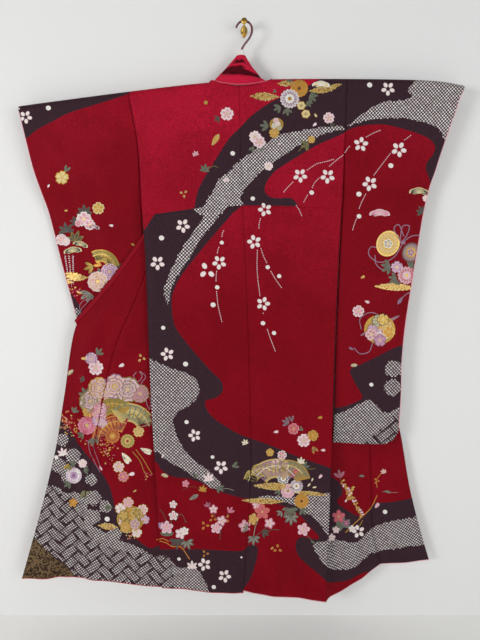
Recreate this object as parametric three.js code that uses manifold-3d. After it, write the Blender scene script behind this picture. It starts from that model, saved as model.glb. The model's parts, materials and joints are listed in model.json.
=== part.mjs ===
// A lined long-sleeved kimono hung by its hanger on a wall hook, back outwards, with both fronts swung out beside it.
// Millimetres. +Z is up, the wall is the plane y = 0, and the cloth hangs on its -Y side, which is the side that shows.
// The origin is the middle of the wall hook's back plate.
import * as THREE from "three";
import { mergeVertices } from "three/addons/utils/BufferGeometryUtils.js";
import Module from "manifold-3d";

const wasm = await Module();
wasm.setup();

// Driving dimensions
const CLOTH = 2.2; // outer cloth and lining together
const SEAM = 0.3; // gap between two sewn pieces
const FOLDED_SEAM = 0.8; // the same to each side of a seam where the pieces meet at an angle
const HEM_ROLL = 2.2; // how much the padded hem is thicker than the cloth
const HEM_ROLL_LENGTH = 9;
const POLE_Y = -45; // middle of the hanger's poles, in front of the wall
const RIDGE_RADIUS = 16; // cloth bent over the pole, to the middle of its wall
const POLE_RADIUS = 9;
const WRIST = 232; // open length at the sleeve's outer edge
const TUCK_LEDGE = 3; // step of the sewn waist tuck
const TUCK_SLOPE = 4; // height over which the step runs

// A table with named columns, one row for each section, point or fold.
function table(columns, rows) {
  const names = columns.split(" ");
  return rows.map((row) => Object.fromEntries(names.map((name, i) => [name, row[i]])));
}

// The value of one column where the key column has the given value, on a smooth line through the rows.
function read(rows, key, value, column) {
  const last = rows.length - 1;
  const way = Math.sign(rows[last][key] - rows[0][key]);
  let i = 0;
  while (i < last - 1 && (value - rows[i + 1][key]) * way > 0) i += 1;
  const [before, from, to, after] = [i - 1, i, i + 1, i + 2].map((k) => rows[THREE.MathUtils.clamp(k, 0, last)]);
  const step = to[key] - from[key];
  const t = THREE.MathUtils.clamp((value - from[key]) / step, 0, 1);
  const slope = (a, b) => ((b[column] - a[column]) / (b[key] - a[key])) * step;
  const [startSlope, endSlope] = [slope(before, to), slope(from, after)];
  const [t2, t3] = [t * t, t * t * t];
  return (
    (2 * t3 - 3 * t2 + 1) * from[column] +
    (t3 - 2 * t2 + t) * startSlope +
    (3 * t2 - 2 * t3) * to[column] +
    (t3 - t2) * endSlope
  );
}

const mix = THREE.MathUtils.lerp;
const smooth = THREE.MathUtils.smoothstep;
const steps = (count, from = 0, to = 1) => Array.from({ length: count + 1 }, (_, i) => mix(from, to, i / count));

// Height of soft folds at a place u across and v along a piece: troughs are negative.
function foldHeight(folds, u, v) {
  let height = 0;
  for (const fold of folds) {
    const middle = fold.at + fold.lean * (v - fold.top);
    const along = smooth(v, fold.top, fold.top + fold.fade) * (1 - smooth(v, fold.bottom - fold.fade, fold.bottom));
    height += fold.height * along * Math.exp(-(((u - middle) / fold.spread) ** 2));
  }
  return height;
}
const FOLD_COLUMNS = "at spread top bottom fade lean height";

// A closed solid between two faces, each a grid of points with the same rows and columns.
function solidBetween(near, far) {
  const rows = near.length;
  const columns = near[0].length;
  const position = [...near.flat(), ...far.flat()].flatMap((p) => [p.x, p.y, p.z]);
  const at = (i, j) => i * columns + j;
  const half = rows * columns;
  const index = [];
  const quad = (a, b, c, d) => index.push(a, b, c, a, c, d);
  for (let i = 0; i < rows - 1; i += 1) {
    for (let j = 0; j < columns - 1; j += 1) {
      quad(at(i, j), at(i + 1, j), at(i + 1, j + 1), at(i, j + 1));
      quad(half + at(i, j), half + at(i, j + 1), half + at(i + 1, j + 1), half + at(i + 1, j));
    }
  }
  const rim = [];
  for (let j = 0; j < columns - 1; j += 1) rim.push([at(0, j), at(0, j + 1)]);
  for (let i = 0; i < rows - 1; i += 1) rim.push([at(i, columns - 1), at(i + 1, columns - 1)]);
  for (let j = columns - 1; j > 0; j -= 1) rim.push([at(rows - 1, j), at(rows - 1, j - 1)]);
  for (let i = rows - 1; i > 0; i -= 1) rim.push([at(i, 0), at(i - 1, 0)]);
  for (const [a, b] of rim) quad(a, b, half + b, half + a);
  const geometry = new THREE.BufferGeometry();
  geometry.setAttribute("position", new THREE.Float32BufferAttribute(position, 3));
  geometry.setIndex(index);
  return facingOut(mergeVertices(geometry, 1e-3));
}

// Turns the faces round where they point inwards.
function facingOut(geometry) {
  const { position } = geometry.attributes;
  const index = geometry.index.array;
  const [a, b, c] = [0, 1, 2].map(() => new THREE.Vector3());
  let volume = 0;
  for (let i = 0; i < index.length; i += 3) {
    [a, b, c].forEach((corner, k) => corner.fromBufferAttribute(position, index[i + k]));
    volume += a.dot(b.cross(c));
  }
  if (volume < 0) {
    for (let i = 0; i < index.length; i += 3) [index[i + 1], index[i + 2]] = [index[i + 2], index[i + 1]];
  }
  return geometry;
}

// A wall of cloth on a surface pointAt(u, v), with its thickness set off evenly to both sides.
function wallOn(pointAt, across, along, thicknessAt) {
  const small = 1e-3;
  const faces = [1, -1].map((side) =>
    along.map((v) =>
      across.map((u) => {
        const [left, right] = [Math.max(u - small, 0), Math.min(u + small, 1)];
        const [up, down] = [Math.max(v - small, 0), Math.min(v + small, 1)];
        const du = pointAt(right, v).sub(pointAt(left, v));
        const dv = pointAt(u, down).sub(pointAt(u, up));
        const normal = du.cross(dv).normalize();
        return pointAt(u, v).addScaledVector(normal, (side * thicknessAt(v)) / 2);
      }),
    ),
  );
  return solidBetween(faces[0], faces[1]);
}

// The wall's thickness, which is even down to the padded roll in the last share of a panel's length.
const hemmed = (roll) => (v) => CLOTH + HEM_ROLL * smooth(v, 1 - roll, 1 - roll / 3);

// The shoulder line: the top of the cloth over the hanger.
const RIDGE = table("x z", [
  [-656, -218],
  [-331, -178],
  [-94, -153],
  [74, -145],
  [303, -144],
  [504, -147],
  [575, -152],
  [634, -162],
]);
const ridgeZ = (x) => read(RIDGE, "x", x, "z") - CLOTH / 2;

// The neck: where the collar's foot runs across the back.
const NECK = { middle: -10, half: 82, top: -151, dip: 15, turn: 8 };
const neckFootZ = (x) => NECK.top - NECK.dip * (1 - Math.min(1, ((x - NECK.middle) / NECK.half) ** 2));

// Back panels, from the shoulder to the hem: the centre seam and the side at each height.
const BACK_COLUMNS = "z centreX centreY sideX sideY";
const BACK_LEFT = table(BACK_COLUMNS, [
  [-200, -13, -61, -330.5, -61],
  [-260, -11, -62, -319.5, -60],
  [-340, -9, -64, -309.5, -60],
  [-500, -3, -67, -304, -62],
  [-670, 5, -70, -297, -66],
  [-880, 14, -74, -295, -70],
  [-1106, 21, -77, -292, -75],
  [-1275, 24, -79, -287, -77],
  [-1450, 20, -81, -282, -80],
  [-1631, 9, -83, -277, -82],
  [-1790, -1, -84, -273, -84],
]);
const BACK_RIGHT = table(BACK_COLUMNS, [
  [-200, -13, -61, 295, -61],
  [-260, -11, -62, 295, -60],
  [-340, -9, -64, 294, -60],
  [-500, -3, -67, 291, -63],
  [-670, 5, -70, 286, -67],
  [-880, 14, -74, 283, -71],
  [-1106, 21, -77, 281, -80],
  [-1275, 24, -79, 281, -84],
  [-1450, 20, -81, 279, -90],
  [-1631, 9, -83, 277, -97],
  [-1790, -1, -84, 275, -105],
]);
const BACK_HEM = { left: { centre: -1776, side: -1752 }, right: { centre: -1769, side: -1789 } };
const TUCK = { left: { centre: -502, side: -530 }, right: { centre: -502, side: -507 } };
const BACK_FOLDS = {
  left: table(FOLD_COLUMNS, [
    [0, 0.09, 0.3, 1.2, 0.2, 0, -7],
    [0.45, 0.12, 0.55, 1.2, 0.3, -0.1, 5],
    [0.72, 0.1, 0.4, 1.2, 0.3, 0.05, -5],
    [0.93, 0.08, 0.12, 0.5, 0.15, 0, 4],
  ]),
  right: table(FOLD_COLUMNS, [
    [0, 0.09, 0.3, 1.2, 0.2, 0, -7],
    [0.3, 0.1, 0.5, 1.2, 0.3, 0.12, 6],
    [0.62, 0.12, 0.45, 1.2, 0.3, 0.1, -6],
  ]),
};
const RIDGE_SHARE = 0.02; // share of the panel's length that bends over the pole

// A point of a back panel: u runs from the centre seam to the side, v from the shoulder's top to the hem.
function backPoint(side, u, v) {
  const rows = side === "left" ? BACK_LEFT : BACK_RIGHT;
  const inset = (SEAM / 2 / 300) * (1 - 2 * u);
  const w = u + inset;
  const shoulderX = mix(rows[0].centreX, rows[0].sideX, w);
  const fromNeck = Math.abs(shoulderX - NECK.middle) - NECK.half;
  const startAngle = (Math.PI / 2) * (1 - smooth(fromNeck, 0, NECK.turn)) + SEAM / RIDGE_RADIUS;
  const top = fromNeck < NECK.turn / 2 ? neckFootZ(shoulderX) - SEAM + RIDGE_RADIUS : ridgeZ(shoulderX);
  if (v < RIDGE_SHARE) {
    const angle = mix(startAngle, Math.PI / 2, v / RIDGE_SHARE);
    return new THREE.Vector3(
      shoulderX,
      POLE_Y - RIDGE_RADIUS * Math.sin(angle),
      top - RIDGE_RADIUS * (1 - Math.cos(angle)),
    );
  }
  const down = (v - RIDGE_SHARE) / (1 - RIDGE_SHARE);
  const hem = BACK_HEM[side];
  const z = mix(top - RIDGE_RADIUS, mix(hem.centre, hem.side, w), down);
  const centre = new THREE.Vector2(read(rows, "z", z, "centreX"), read(rows, "z", z, "centreY"));
  const edge = new THREE.Vector2(read(rows, "z", z, "sideX"), read(rows, "z", z, "sideY"));
  const tuckZ = mix(TUCK[side].centre, TUCK[side].side, w);
  const ledge = TUCK_LEDGE * smooth(z, tuckZ - TUCK_SLOPE, tuckZ) * (1 - smooth(z, tuckZ, tuckZ + 260));
  const height = foldHeight(BACK_FOLDS[side], w, v) + ledge;
  return new THREE.Vector3(mix(centre.x, edge.x, w), mix(centre.y, edge.y, w) - height, z);
}

// A back panel's columns stand closer where the neck turns into the shoulder, and its rows where the tuck is.
function backPanel(side) {
  const rows = side === "left" ? BACK_LEFT : BACK_RIGHT;
  const width = Math.abs(rows[0].sideX - rows[0].centreX);
  const centreOffset = Math.abs(rows[0].centreX - NECK.middle);
  const neckStart = (NECK.half + (side === "left" ? -centreOffset : centreOffset)) / width;
  const neckEnd = neckStart + NECK.turn / width;
  const neck = [...steps(4, 0, neckStart), (neckStart + neckEnd) / 2, neckEnd];
  const across = [...neck, ...steps(5, 0.42, 1)];
  const tuck = TUCK[side];
  const length = rows[0].z - BACK_HEM[side].centre;
  const tuckV = (z) => RIDGE_SHARE + (1 - RIDGE_SHARE) * ((-170 - z) / (-170 - BACK_HEM[side].centre));
  const [tuckTop, tuckFoot] = [tuckV(tuck.centre), tuckV(tuck.side - TUCK_SLOPE)];
  const roll = HEM_ROLL_LENGTH / length;
  const along = [
    ...steps(3, 0, RIDGE_SHARE),
    ...steps(4, RIDGE_SHARE, tuckTop - 0.01).slice(1),
    ...steps(5, tuckTop - 0.003, tuckFoot + 0.004),
    ...steps(13, tuckFoot + 0.03, 1 - roll),
    1 - roll / 2,
    1,
  ];
  return wallOn((u, v) => backPoint(side, u, v), across, along, hemmed(roll));
}

// The opened fronts, a row for each height: the side seam or armhole (a), the fold tucked behind the back panel (p, q),
// the seam to the overlap (b) and the overlap's far edge (e). Above the overlap's tip the collar is sewn to b.
const FRONT_COLUMNS = "ax ay az px py pz qx qy qz bx by bz ex ey ez";
const FRONT_LEFT = table(FRONT_COLUMNS, [
  [-330.6, -44.4, -179, -250, -44.4, -171, -170, -44.4, -162, -96, -44.4, -155],
  [-330.6, -33.5, -184, -250, -33.5, -176, -170, -33.5, -167, -96, -33.5, -160],
  [-329.4, -29, -196, -250, -29, -188, -170, -29, -179, -97, -29, -172],
  [-312.2, -31, -300, -235, -34, -292, -165, -30, -285, -118, -26, -280],
  [-307, -34, -410, -128, -44, -402, -122, -33, -398, -184, -26, -392, -184, -26, -392],
  [-304, -54, -500, -142, -50, -498, -136, -38, -496, -230, -31, -495, -240, -30, -488],
  [-301, -61.2, -575, -160, -53, -573, -154, -42, -571, -256, -37, -575, -284, -38.5, -570],
  [-297, -63.4, -670, -180, -56, -670, -174, -46, -670, -294, -45, -680, -352, -46, -668],
  [-296, -65.4, -775, -194, -59, -775, -188, -49, -775, -336, -49, -785, -420, -48, -752],
  [-295, -67.4, -880, -206, -61, -880, -200, -51, -880, -382, -52, -880, -487, -48.5, -825],
  [-294, -69, -960, -214, -63, -960, -209, -53.5, -958, -411, -54, -955, -522, -48.5, -863],
  [-292, -72.4, -1106, -228, -66, -1106, -223, -57, -1105, -449, -56, -1100, -573, -51, -1090],
  [-287, -74.4, -1275, -243, -69, -1275, -240, -61, -1272, -484, -59, -1260, -609, -53, -1262],
  [-282, -77.4, -1450, -262, -73, -1450, -264, -66, -1447, -521, -62, -1430, -656, -55, -1432],
  [-277, -79.4, -1610, -284, -76, -1610, -330, -72, -1603, -553, -64, -1590, -706, -57, -1592],
  [-273.5, -78.7, -1752, -330, -79, -1748, -430, -74, -1738, -577, -66, -1724, -753, -58, -1737],
]);
const FRONT_RIGHT = table(FRONT_COLUMNS, [
  [296, -44.4, -146, 220, -44.4, -146, 148, -44.4, -146, 77, -44.4, -147],
  [296, -33.5, -151, 220, -33.5, -151, 148, -33.5, -151, 77, -33.5, -152],
  [295.7, -29, -163, 220, -29, -163, 148, -29, -163, 78, -29, -164],
  [294.8, -31, -280, 225, -34, -272, 150, -30, -267, 98, -26, -262],
  [293.5, -34, -375, 108, -44, -374, 102, -33, -373, 156, -25, -372, 156, -25, -372],
  [291.5, -54, -480, 122, -50, -480, 117, -38, -480, 205, -24, -480, 221, -22.5, -468],
  [289.5, -60.4, -540, 135, -54, -542, 130, -40, -544, 229, -23.5, -548, 257, -21.5, -528],
  [286, -63.4, -670, 152, -56, -672, 148, -41, -674, 276, -24, -680, 328, -21, -652],
  [284.5, -66.4, -775, 165, -58, -777, 161, -42, -779, 312, -24, -785, 386, -20, -748],
  [283, -68.4, -880, 176, -60, -880, 172, -42, -880, 346, -24, -880, 430, -19, -830],
  [282, -71.5, -960, 182, -62, -960, 178, -43, -960, 368, -25, -955, 452, -18.5, -880],
  [281, -77.4, -1106, 196, -67, -1106, 194, -47, -1104, 396, -27, -1100, 480, -21, -1085],
  [281, -81.4, -1275, 214, -71, -1273, 212, -53, -1268, 417, -31, -1262, 520, -26, -1243],
  [279, -87.4, -1450, 244, -79, -1447, 246, -64, -1440, 428, -34, -1420, 557, -29, -1420],
  [277, -94.4, -1631, 268, -86, -1627, 282, -70, -1615, 439, -36, -1575, 596, -33, -1560],
  [275.5, -99.8, -1789, 286, -88, -1786, 338, -66, -1775, 470, -37, -1698, 635, -37, -1682],
]);
const TIP_ROW = 4; // where the overlap starts
const COLLAR_ROWS = { first: 2, last: 10 };

// The collar bands: the roll at their outer edge (r) and the free edge folded back behind it (f).
const COLLAR_COLUMNS = "rx ry rz fx fy fz";
const COLLAR_LEFT = table(COLLAR_COLUMNS, [
  [-86, -20, -173, -70, -15, -176],
  [-116, -14, -280, -106, -8, -282],
  [-186, -15, -388, -176, -8, -396],
  [-246, -20, -472, -232, -13, -498],
  [-293, -34, -562, -266, -26, -584],
  [-362, -40.5, -660, -335, -34.5, -682],
  [-430, -42, -744, -403, -35.5, -766],
  [-497, -42, -817, -470, -35.5, -839],
  [-530, -42, -852, -508, -35.5, -876],
]);
const COLLAR_RIGHT = table(COLLAR_COLUMNS, [
  [68, -20, -168, 52, -15, -174],
  [97, -14, -262, 86, -8, -264],
  [158, -14, -368, 148, -8, -376],
  [226, -14, -452, 208, -8, -474],
  [262, -15, -517, 240, -8.5, -540],
  [337, -15, -644, 311, -8.5, -666],
  [396, -14, -740, 369, -8.5, -762],
  [440, -13.5, -822, 413, -8.5, -844],
  [462, -13, -872, 436, -8, -894],
]);
const FRONT_FOLDS = {
  left: table(FOLD_COLUMNS, [
    [0.82, 0.06, 0.5, 1.2, 0.2, 0.05, 5],
    [0.93, 0.04, 0.55, 1.2, 0.2, 0, -3],
    [0.16, 0.05, 0.1, 0.5, 0.1, 0, -3],
  ]),
  right: table(FOLD_COLUMNS, [
    [0.84, 0.06, 0.6, 1.2, 0.15, 0, 5],
    [0.16, 0.05, 0.1, 0.5, 0.1, 0, -3],
  ]),
};
const OVERLAP_FOLDS = {
  left: table(FOLD_COLUMNS, [
    [0.62, 0.2, 0.3, 1.3, 0.3, -0.1, 7],
    [0.28, 0.12, 0.4, 1.3, 0.3, 0, -4],
  ]),
  right: table(FOLD_COLUMNS, [[0.5, 0.25, 0.3, 1.3, 0.3, 0, 5]]),
};

const curveOf = (rows, name) =>
  new THREE.CatmullRomCurve3(
    rows.map((row) => new THREE.Vector3(row[`${name}x`], row[`${name}y`], row[`${name}z`])),
    false,
    "centripetal",
  );

// The lines that one opened front, its overlap and its collar share.
function frontLines(rows, collarRows) {
  const edgeRows = rows.map((row) => ("ez" in row && row.ez !== undefined ? row : { ex: row.bx, ey: row.by, ez: row.bz }));
  const [side, foldNear, foldFar, seam] = ["a", "p", "q", "b"].map((name) => curveOf(rows, name));
  return {
    side,
    foldNear,
    foldFar,
    seam,
    edge: curveOf(edgeRows, "e"),
    roll: curveOf(collarRows, "r"),
    free: curveOf(collarRows, "f"),
    tip: TIP_ROW / (rows.length - 1),
    collarTop: COLLAR_ROWS.first / (rows.length - 1),
    collarEnd: COLLAR_ROWS.last / (rows.length - 1),
  };
}

const LINES = {
  left: frontLines(FRONT_LEFT, COLLAR_LEFT),
  right: frontLines(FRONT_RIGHT, COLLAR_RIGHT),
};

// The place a given gap away from one point on the way to another.
const stepOff = (from, to, gap) => from.clone().addScaledVector(to.clone().sub(from).normalize(), gap);
// Folds die out at a piece's sewn edges.
const pinned = (u) => smooth(Math.min(u, 1 - u), 0, 0.12);

function frontPoint(side, u, v) {
  const lines = LINES[side];
  const seam = (v <= lines.tip ? lines.edge : lines.seam).getPoint(v);
  const [a, p, q] = [lines.side, lines.foldNear, lines.foldFar].map((line) => line.getPoint(v));
  const row = new THREE.CatmullRomCurve3([a, p, q, stepOff(seam, q, FOLDED_SEAM)], false, "centripetal");
  const point = row.getPoint(u);
  point.y -= foldHeight(FRONT_FOLDS[side], u, v) * pinned(u);
  return point;
}

function overlapPoint(side, u, v) {
  const lines = LINES[side];
  const along = mix(lines.tip + 0.02, 1, v);
  const [a, b] = [lines.seam.getPoint(along), lines.edge.getPoint(along)];
  const point = stepOff(a, b, FOLDED_SEAM).lerp(stepOff(b, a, FOLDED_SEAM), u);
  point.y -= foldHeight(OVERLAP_FOLDS[side], u, v) * pinned(u);
  return point;
}

function collarPoint(side, u, v) {
  const lines = LINES[side];
  const [roll, free] = [lines.roll.getPoint(v), lines.free.getPoint(v)];
  const sewn = stepOff(lines.edge.getPoint(mix(lines.collarTop, lines.collarEnd, v)), roll, 2 * FOLDED_SEAM);
  return new THREE.CatmullRomCurve3([sewn, roll, free], false, "centripetal").getPoint(u);
}

// Rows stand closer over the pole and at the padded hem.
function frontPanel(side) {
  const roll = 0.0045;
  const shoulder = LINES[side].collarTop;
  const along = [
    ...steps(4, 0, shoulder),
    ...steps(19, shoulder, 0.94).slice(1),
    ...steps(3, 0.96, 1 - roll),
    1 - roll / 2,
    1,
  ];
  const across = [0, 0.17, 0.27, 0.34, 0.42, 0.5, 0.58, 0.66, 0.75, 0.83, 0.91, 1];
  return wallOn((u, v) => frontPoint(side, u, v), across, along, hemmed(roll));
}

function overlapPanel(side) {
  const roll = 0.006;
  const along = [...steps(16, 0, 1 - roll), 1 - roll / 2, 1];
  return wallOn((u, v) => overlapPoint(side, u, v), steps(5), along, hemmed(roll));
}

const collarBand = (side) => wallOn((u, v) => collarPoint(side, u, v), steps(6), steps(16), () => CLOTH);

// Sleeves: flat bags over the pole, open to the body and at the wrist, sewn at the outer edge and the bottom.
const SLEEVE_COLUMNS = "z innerX outerX midY half";
const SLEEVE_LEFT = table(SLEEVE_COLUMNS, [
  [-215, -329, -655, -45, 16],
  [-298, -315, -641, -44, 14],
  [-399, -308, -622, -44, 12.5],
  [-470, -309, -606, -34, 9],
  [-538, -311, -593, -23, 7.5],
  [-681, -311, -566, -20, 7.5],
  [-835, -308, -533, -20, 7.5],
  [-1000, -292, -500, -20, 7.5],
  [-1150, -274, -472, -20, 7.5],
  [-1300, -258, -446, -20, 7],
]);
const SLEEVE_RIGHT = table(SLEEVE_COLUMNS, [
  [-215, 295.6, 618, -45, 16],
  [-298, 295.4, 594, -45, 14],
  [-399, 294, 566, -46, 12],
  [-503, 294, 544, -47, 10],
  [-609, 292, 531, -48, 9],
  [-754, 289.5, 515, -50, 8.5],
  [-866, 288.5, 504, -51, 8],
  [-981, 288.5, 499, -52, 8],
  [-1089, 289, 502, -53, 8],
  [-1258, 290, 500, -54, 7],
]);
const SLEEVE = {
  left: { rows: SLEEVE_LEFT, shoulder: [-331.8, -656], bottom: [-1296, -1302] },
  right: { rows: SLEEVE_RIGHT, shoulder: [296.4, 634], bottom: [-1252, -1262] },
};
const CORNER_RADIUS = 60; // the rounded lower outer corner
const RIM_HALF = 2.6; // half the bag's thickness along its sewn edges
const SLEEVE_FOLDS = {
  left: table(FOLD_COLUMNS, [
    [0.72, 0.1, 0.06, 0.7, 0.2, -0.15, -3],
    [0.45, 0.12, 0.2, 1.2, 0.3, 0, 3],
  ]),
  right: table(FOLD_COLUMNS, [
    [0.86, 0.08, 0.04, 0.45, 0.15, -0.1, -5],
    [0.4, 0.14, 0.3, 1.2, 0.3, 0.05, 3],
    [0.75, 0.12, 0.5, 1.2, 0.3, 0, -3],
  ]),
};

// A point of one face of a sleeve bag: face is -1 for the side that shows and 1 for the wall side.
// The wall is set in for the hollow, by its thickness.
function sleevePoint(side, face, u, v, setIn) {
  const { rows, shoulder, bottom } = SLEEVE[side];
  const shoulderX = mix(shoulder[0], shoulder[1], u);
  const top = ridgeZ(shoulderX) + CLOTH / 2 - setIn;
  const round = Math.max(0, 1 - ((1 - u) * Math.abs(shoulder[1] - shoulder[0]) * 0.65) / CORNER_RADIUS);
  const lift = CORNER_RADIUS * (1 - Math.sqrt(1 - Math.min(1, round) ** 2));
  const foot = mix(bottom[0], bottom[1], u) + lift + setIn * 2;
  const z = mix(top, foot, v);
  const drop = top - z;
  const blend = smooth(z, rows[0].z, top);
  const place = mix(read(rows, "z", z, "innerX"), read(rows, "z", z, "outerX"), u);
  const x = mix(place, shoulderX, blend);
  const full = RIDGE_RADIUS + CLOTH / 2 - setIn;
  const bent = drop < full ? Math.sqrt(full ** 2 - (full - drop) ** 2) : full;
  const hung = read(rows, "z", z, "half") + CLOTH / 2 - setIn;
  const open = mix(hung, full, blend);
  const sewnEdge = smooth(drop, WRIST, WRIST + 60) * smooth(u, 0.8, 1);
  const sewnFoot = smooth(v, 0.94, 1);
  const closed = mix(open, Math.max(RIM_HALF - setIn, 0.4), Math.max(sewnEdge, sewnFoot));
  const half = drop < full ? bent : closed;
  const height = foldHeight(SLEEVE_FOLDS[side], u, v);
  const middle = mix(read(rows, "z", z, "midY"), POLE_Y, blend) - height;
  return new THREE.Vector3(x, middle + face * half, z);
}

const toManifold = (geometry) =>
  new wasm.Manifold(
    new wasm.Mesh({
      numProp: 3,
      vertProperties: geometry.attributes.position.array,
      triVerts: new Uint32Array(geometry.index.array),
    }),
  );

function fromManifold(solid) {
  const mesh = solid.getMesh();
  const geometry = new THREE.BufferGeometry();
  geometry.setAttribute("position", new THREE.BufferAttribute(mesh.vertProperties, 3));
  geometry.setIndex(new THREE.BufferAttribute(mesh.triVerts, 1));
  return geometry;
}

// The hollow runs out at the body side all the way down, and at the outer edge as far as the wrist is open.
function sleeveBag(side) {
  const length = ridgeZ(SLEEVE[side].shoulder[0]) - SLEEVE[side].bottom[0];
  const bend = (RIDGE_RADIUS + CLOTH / 2) / length;
  const wristEnd = WRIST / length;
  const bagRows = [0, bend * 0.07, bend * 0.3, bend * 0.62, bend, ...steps(3, bend + 0.03, wristEnd)];
  const lowerRows = [...steps(8, wristEnd + 0.03, 0.92), 0.96, 0.985, 1];
  const bagColumns = [...steps(4, 0, 0.8), 0.87, 0.93, 0.97, 1];
  const face = (columns, rows, setIn, spanAt) =>
    [-1, 1].map((way) =>
      rows.map((v) => columns.map((u) => sleevePoint(side, way, spanAt(u, v), v, setIn))),
    );
  const bag = solidBetween(...face(bagColumns, [...bagRows, ...lowerRows], 0, (u) => u));
  const hollowRows = [...bagRows, wristEnd + 0.006, ...lowerRows.slice(0, -3), 0.955];
  const spanAt = (u, v) => mix(-0.04, v <= wristEnd + 1e-6 ? 1.04 : 0.94, u);
  const hollow = solidBetween(...face(steps(7), hollowRows, CLOTH, spanAt));
  return fromManifold(toManifold(bag).subtract(toManifold(hollow)));
}

// The collar at the neck, drawn up to the hanger's stem: rings from its foot to its top.
const NECK_RINGS = table("rise middleX halfX halfY", [
  [0, -10, 79, 20],
  [0.2, -13, 66, 20.5],
  [0.4, -14, 53, 19],
  [0.6, -13, 39, 16.5],
  [0.8, -11, 26, 13],
  [1, -9, 13, 10],
]);
const COLLAR_TOP = -82;
const COLLAR_WALL = 2.6;
const SWAGS = table("at spread angle turn depth", [
  [0.28, 0.1, -0.6, 1.5, 7],
  [0.62, 0.09, 0.35, 1.4, 6],
  [0.88, 0.07, -0.3, 1.2, 3],
]);

function neckPoint(angle, rise, setIn) {
  const ring = (column) => read(NECK_RINGS, "rise", rise, column);
  const [c, s] = [Math.cos(angle), Math.sin(angle)];
  let inwards = setIn;
  for (const swag of SWAGS) {
    const sway = swag.at + 0.1 * Math.sin(angle + swag.angle);
    const facing = Math.max(0, -s);
    inwards += swag.depth * facing * Math.exp(-(((rise - sway) / swag.spread) ** 2));
  }
  const x = ring("middleX") + (ring("halfX") - setIn) * c;
  const y = POLE_Y + (ring("halfY") - inwards) * s;
  const foot = neckFootZ(x) + SEAM;
  return new THREE.Vector3(x, y, mix(foot, COLLAR_TOP, rise));
}

function neckCollar() {
  const angles = steps(26, 0, 2 * Math.PI);
  const rises = steps(10);
  const faces = [0, COLLAR_WALL].map((setIn) => rises.map((rise) => angles.map((a) => neckPoint(a, rise, setIn))));
  // The grid is closed round the neck, so its first and last columns are one and carry no rim.
  return ringSolid(faces[0], faces[1]);
}

// A closed solid between two nested tubes of rings, joined at both ends.
function ringSolid(outer, inner) {
  const rows = outer.length;
  const columns = outer[0].length - 1;
  const position = [...outer, ...inner].flatMap((ring) => ring.slice(0, columns)).flatMap((p) => [p.x, p.y, p.z]);
  const at = (i, j) => i * columns + (j % columns);
  const half = rows * columns;
  const index = [];
  const quad = (a, b, c, d) => index.push(a, b, c, a, c, d);
  for (let j = 0; j < columns; j += 1) {
    for (let i = 0; i < rows - 1; i += 1) {
      quad(at(i, j), at(i, j + 1), at(i + 1, j + 1), at(i + 1, j));
      quad(half + at(i, j), half + at(i + 1, j), half + at(i + 1, j + 1), half + at(i, j + 1));
    }
    quad(at(0, j), half + at(0, j), half + at(0, j + 1), at(0, j + 1));
    quad(at(rows - 1, j), at(rows - 1, j + 1), half + at(rows - 1, j + 1), half + at(rows - 1, j));
  }
  const geometry = new THREE.BufferGeometry();
  geometry.setAttribute("position", new THREE.Float32BufferAttribute(position, 3));
  geometry.setIndex(index);
  return facingOut(geometry);
}

// The hanger: a hooked rod, a middle block and two poles.
const ROD_RADIUS = 3.1;
const STEM_X = -6;
const HOOK_LINE = table("x z", [
  [STEM_X, -94.4],
  [STEM_X, -78],
  [STEM_X, -63],
  [2, -50],
  [15, -34],
  [22, -18],
  [21, -3],
  [12, 8],
  [0, 11.2],
  [-11, 8.5],
  [-19, 1],
  [-23, -8],
]);
const BLOCK = { x: -6, width: 100, height: 26, depth: 15, z: -163 };
const ARM = {
  left: { from: [-56.3, -163], to: [-612, -224.5], radius: POLE_RADIUS },
  right: { from: [44.3, -163], to: [548, -160.5], radius: POLE_RADIUS },
};
const POST = { radius: 6.5, foot: -149.7, length: 84, socket: 29 };

function tubeAlong(points, radius, sides, stepsAlong) {
  const outline = new THREE.Shape();
  outline.absarc(0, 0, radius, 0, 2 * Math.PI, false);
  const path = new THREE.CatmullRomCurve3(points, false, "centripetal");
  return new THREE.ExtrudeGeometry(outline, {
    steps: stepsAlong,
    curveSegments: sides,
    bevelEnabled: false,
    extrudePath: path,
  });
}

function hangerHook() {
  return tubeAlong(
    HOOK_LINE.map(({ x, z }) => new THREE.Vector3(x, POLE_Y, z)),
    ROD_RADIUS,
    5,
    26,
  );
}

function hangerBlock() {
  const outline = new THREE.Shape();
  const [w, h, r] = [BLOCK.width / 2, BLOCK.height / 2, 8];
  outline.moveTo(-w, -h);
  outline.lineTo(w, -h);
  outline.lineTo(w, h - r);
  outline.quadraticCurveTo(w, h, w - r * 2, h);
  outline.lineTo(-w + r * 2, h);
  outline.quadraticCurveTo(-w, h, -w, h - r);
  outline.closePath();
  const block = new THREE.ExtrudeGeometry(outline, { depth: BLOCK.depth, bevelEnabled: false, curveSegments: 4 });
  block.translate(0, 0, -BLOCK.depth / 2);
  block.rotateX(Math.PI / 2);
  block.translate(BLOCK.x, POLE_Y, BLOCK.z);
  return block;
}

// The post stands on the block, and the rod sits in a socket in its top.
function post() {
  const { radius, length, socket } = POST;
  const bore = ROD_RADIUS + 3 * SEAM;
  const profile = [
    [0, 0],
    [radius, 0],
    [radius, length - 8],
    [bore + 1, length],
    [bore, length],
    [bore, length - socket],
    [0, length - socket],
  ].map(([r, y]) => new THREE.Vector2(r, y));
  return welded(new THREE.LatheGeometry(profile, 16)).rotateX(Math.PI / 2);
}

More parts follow.
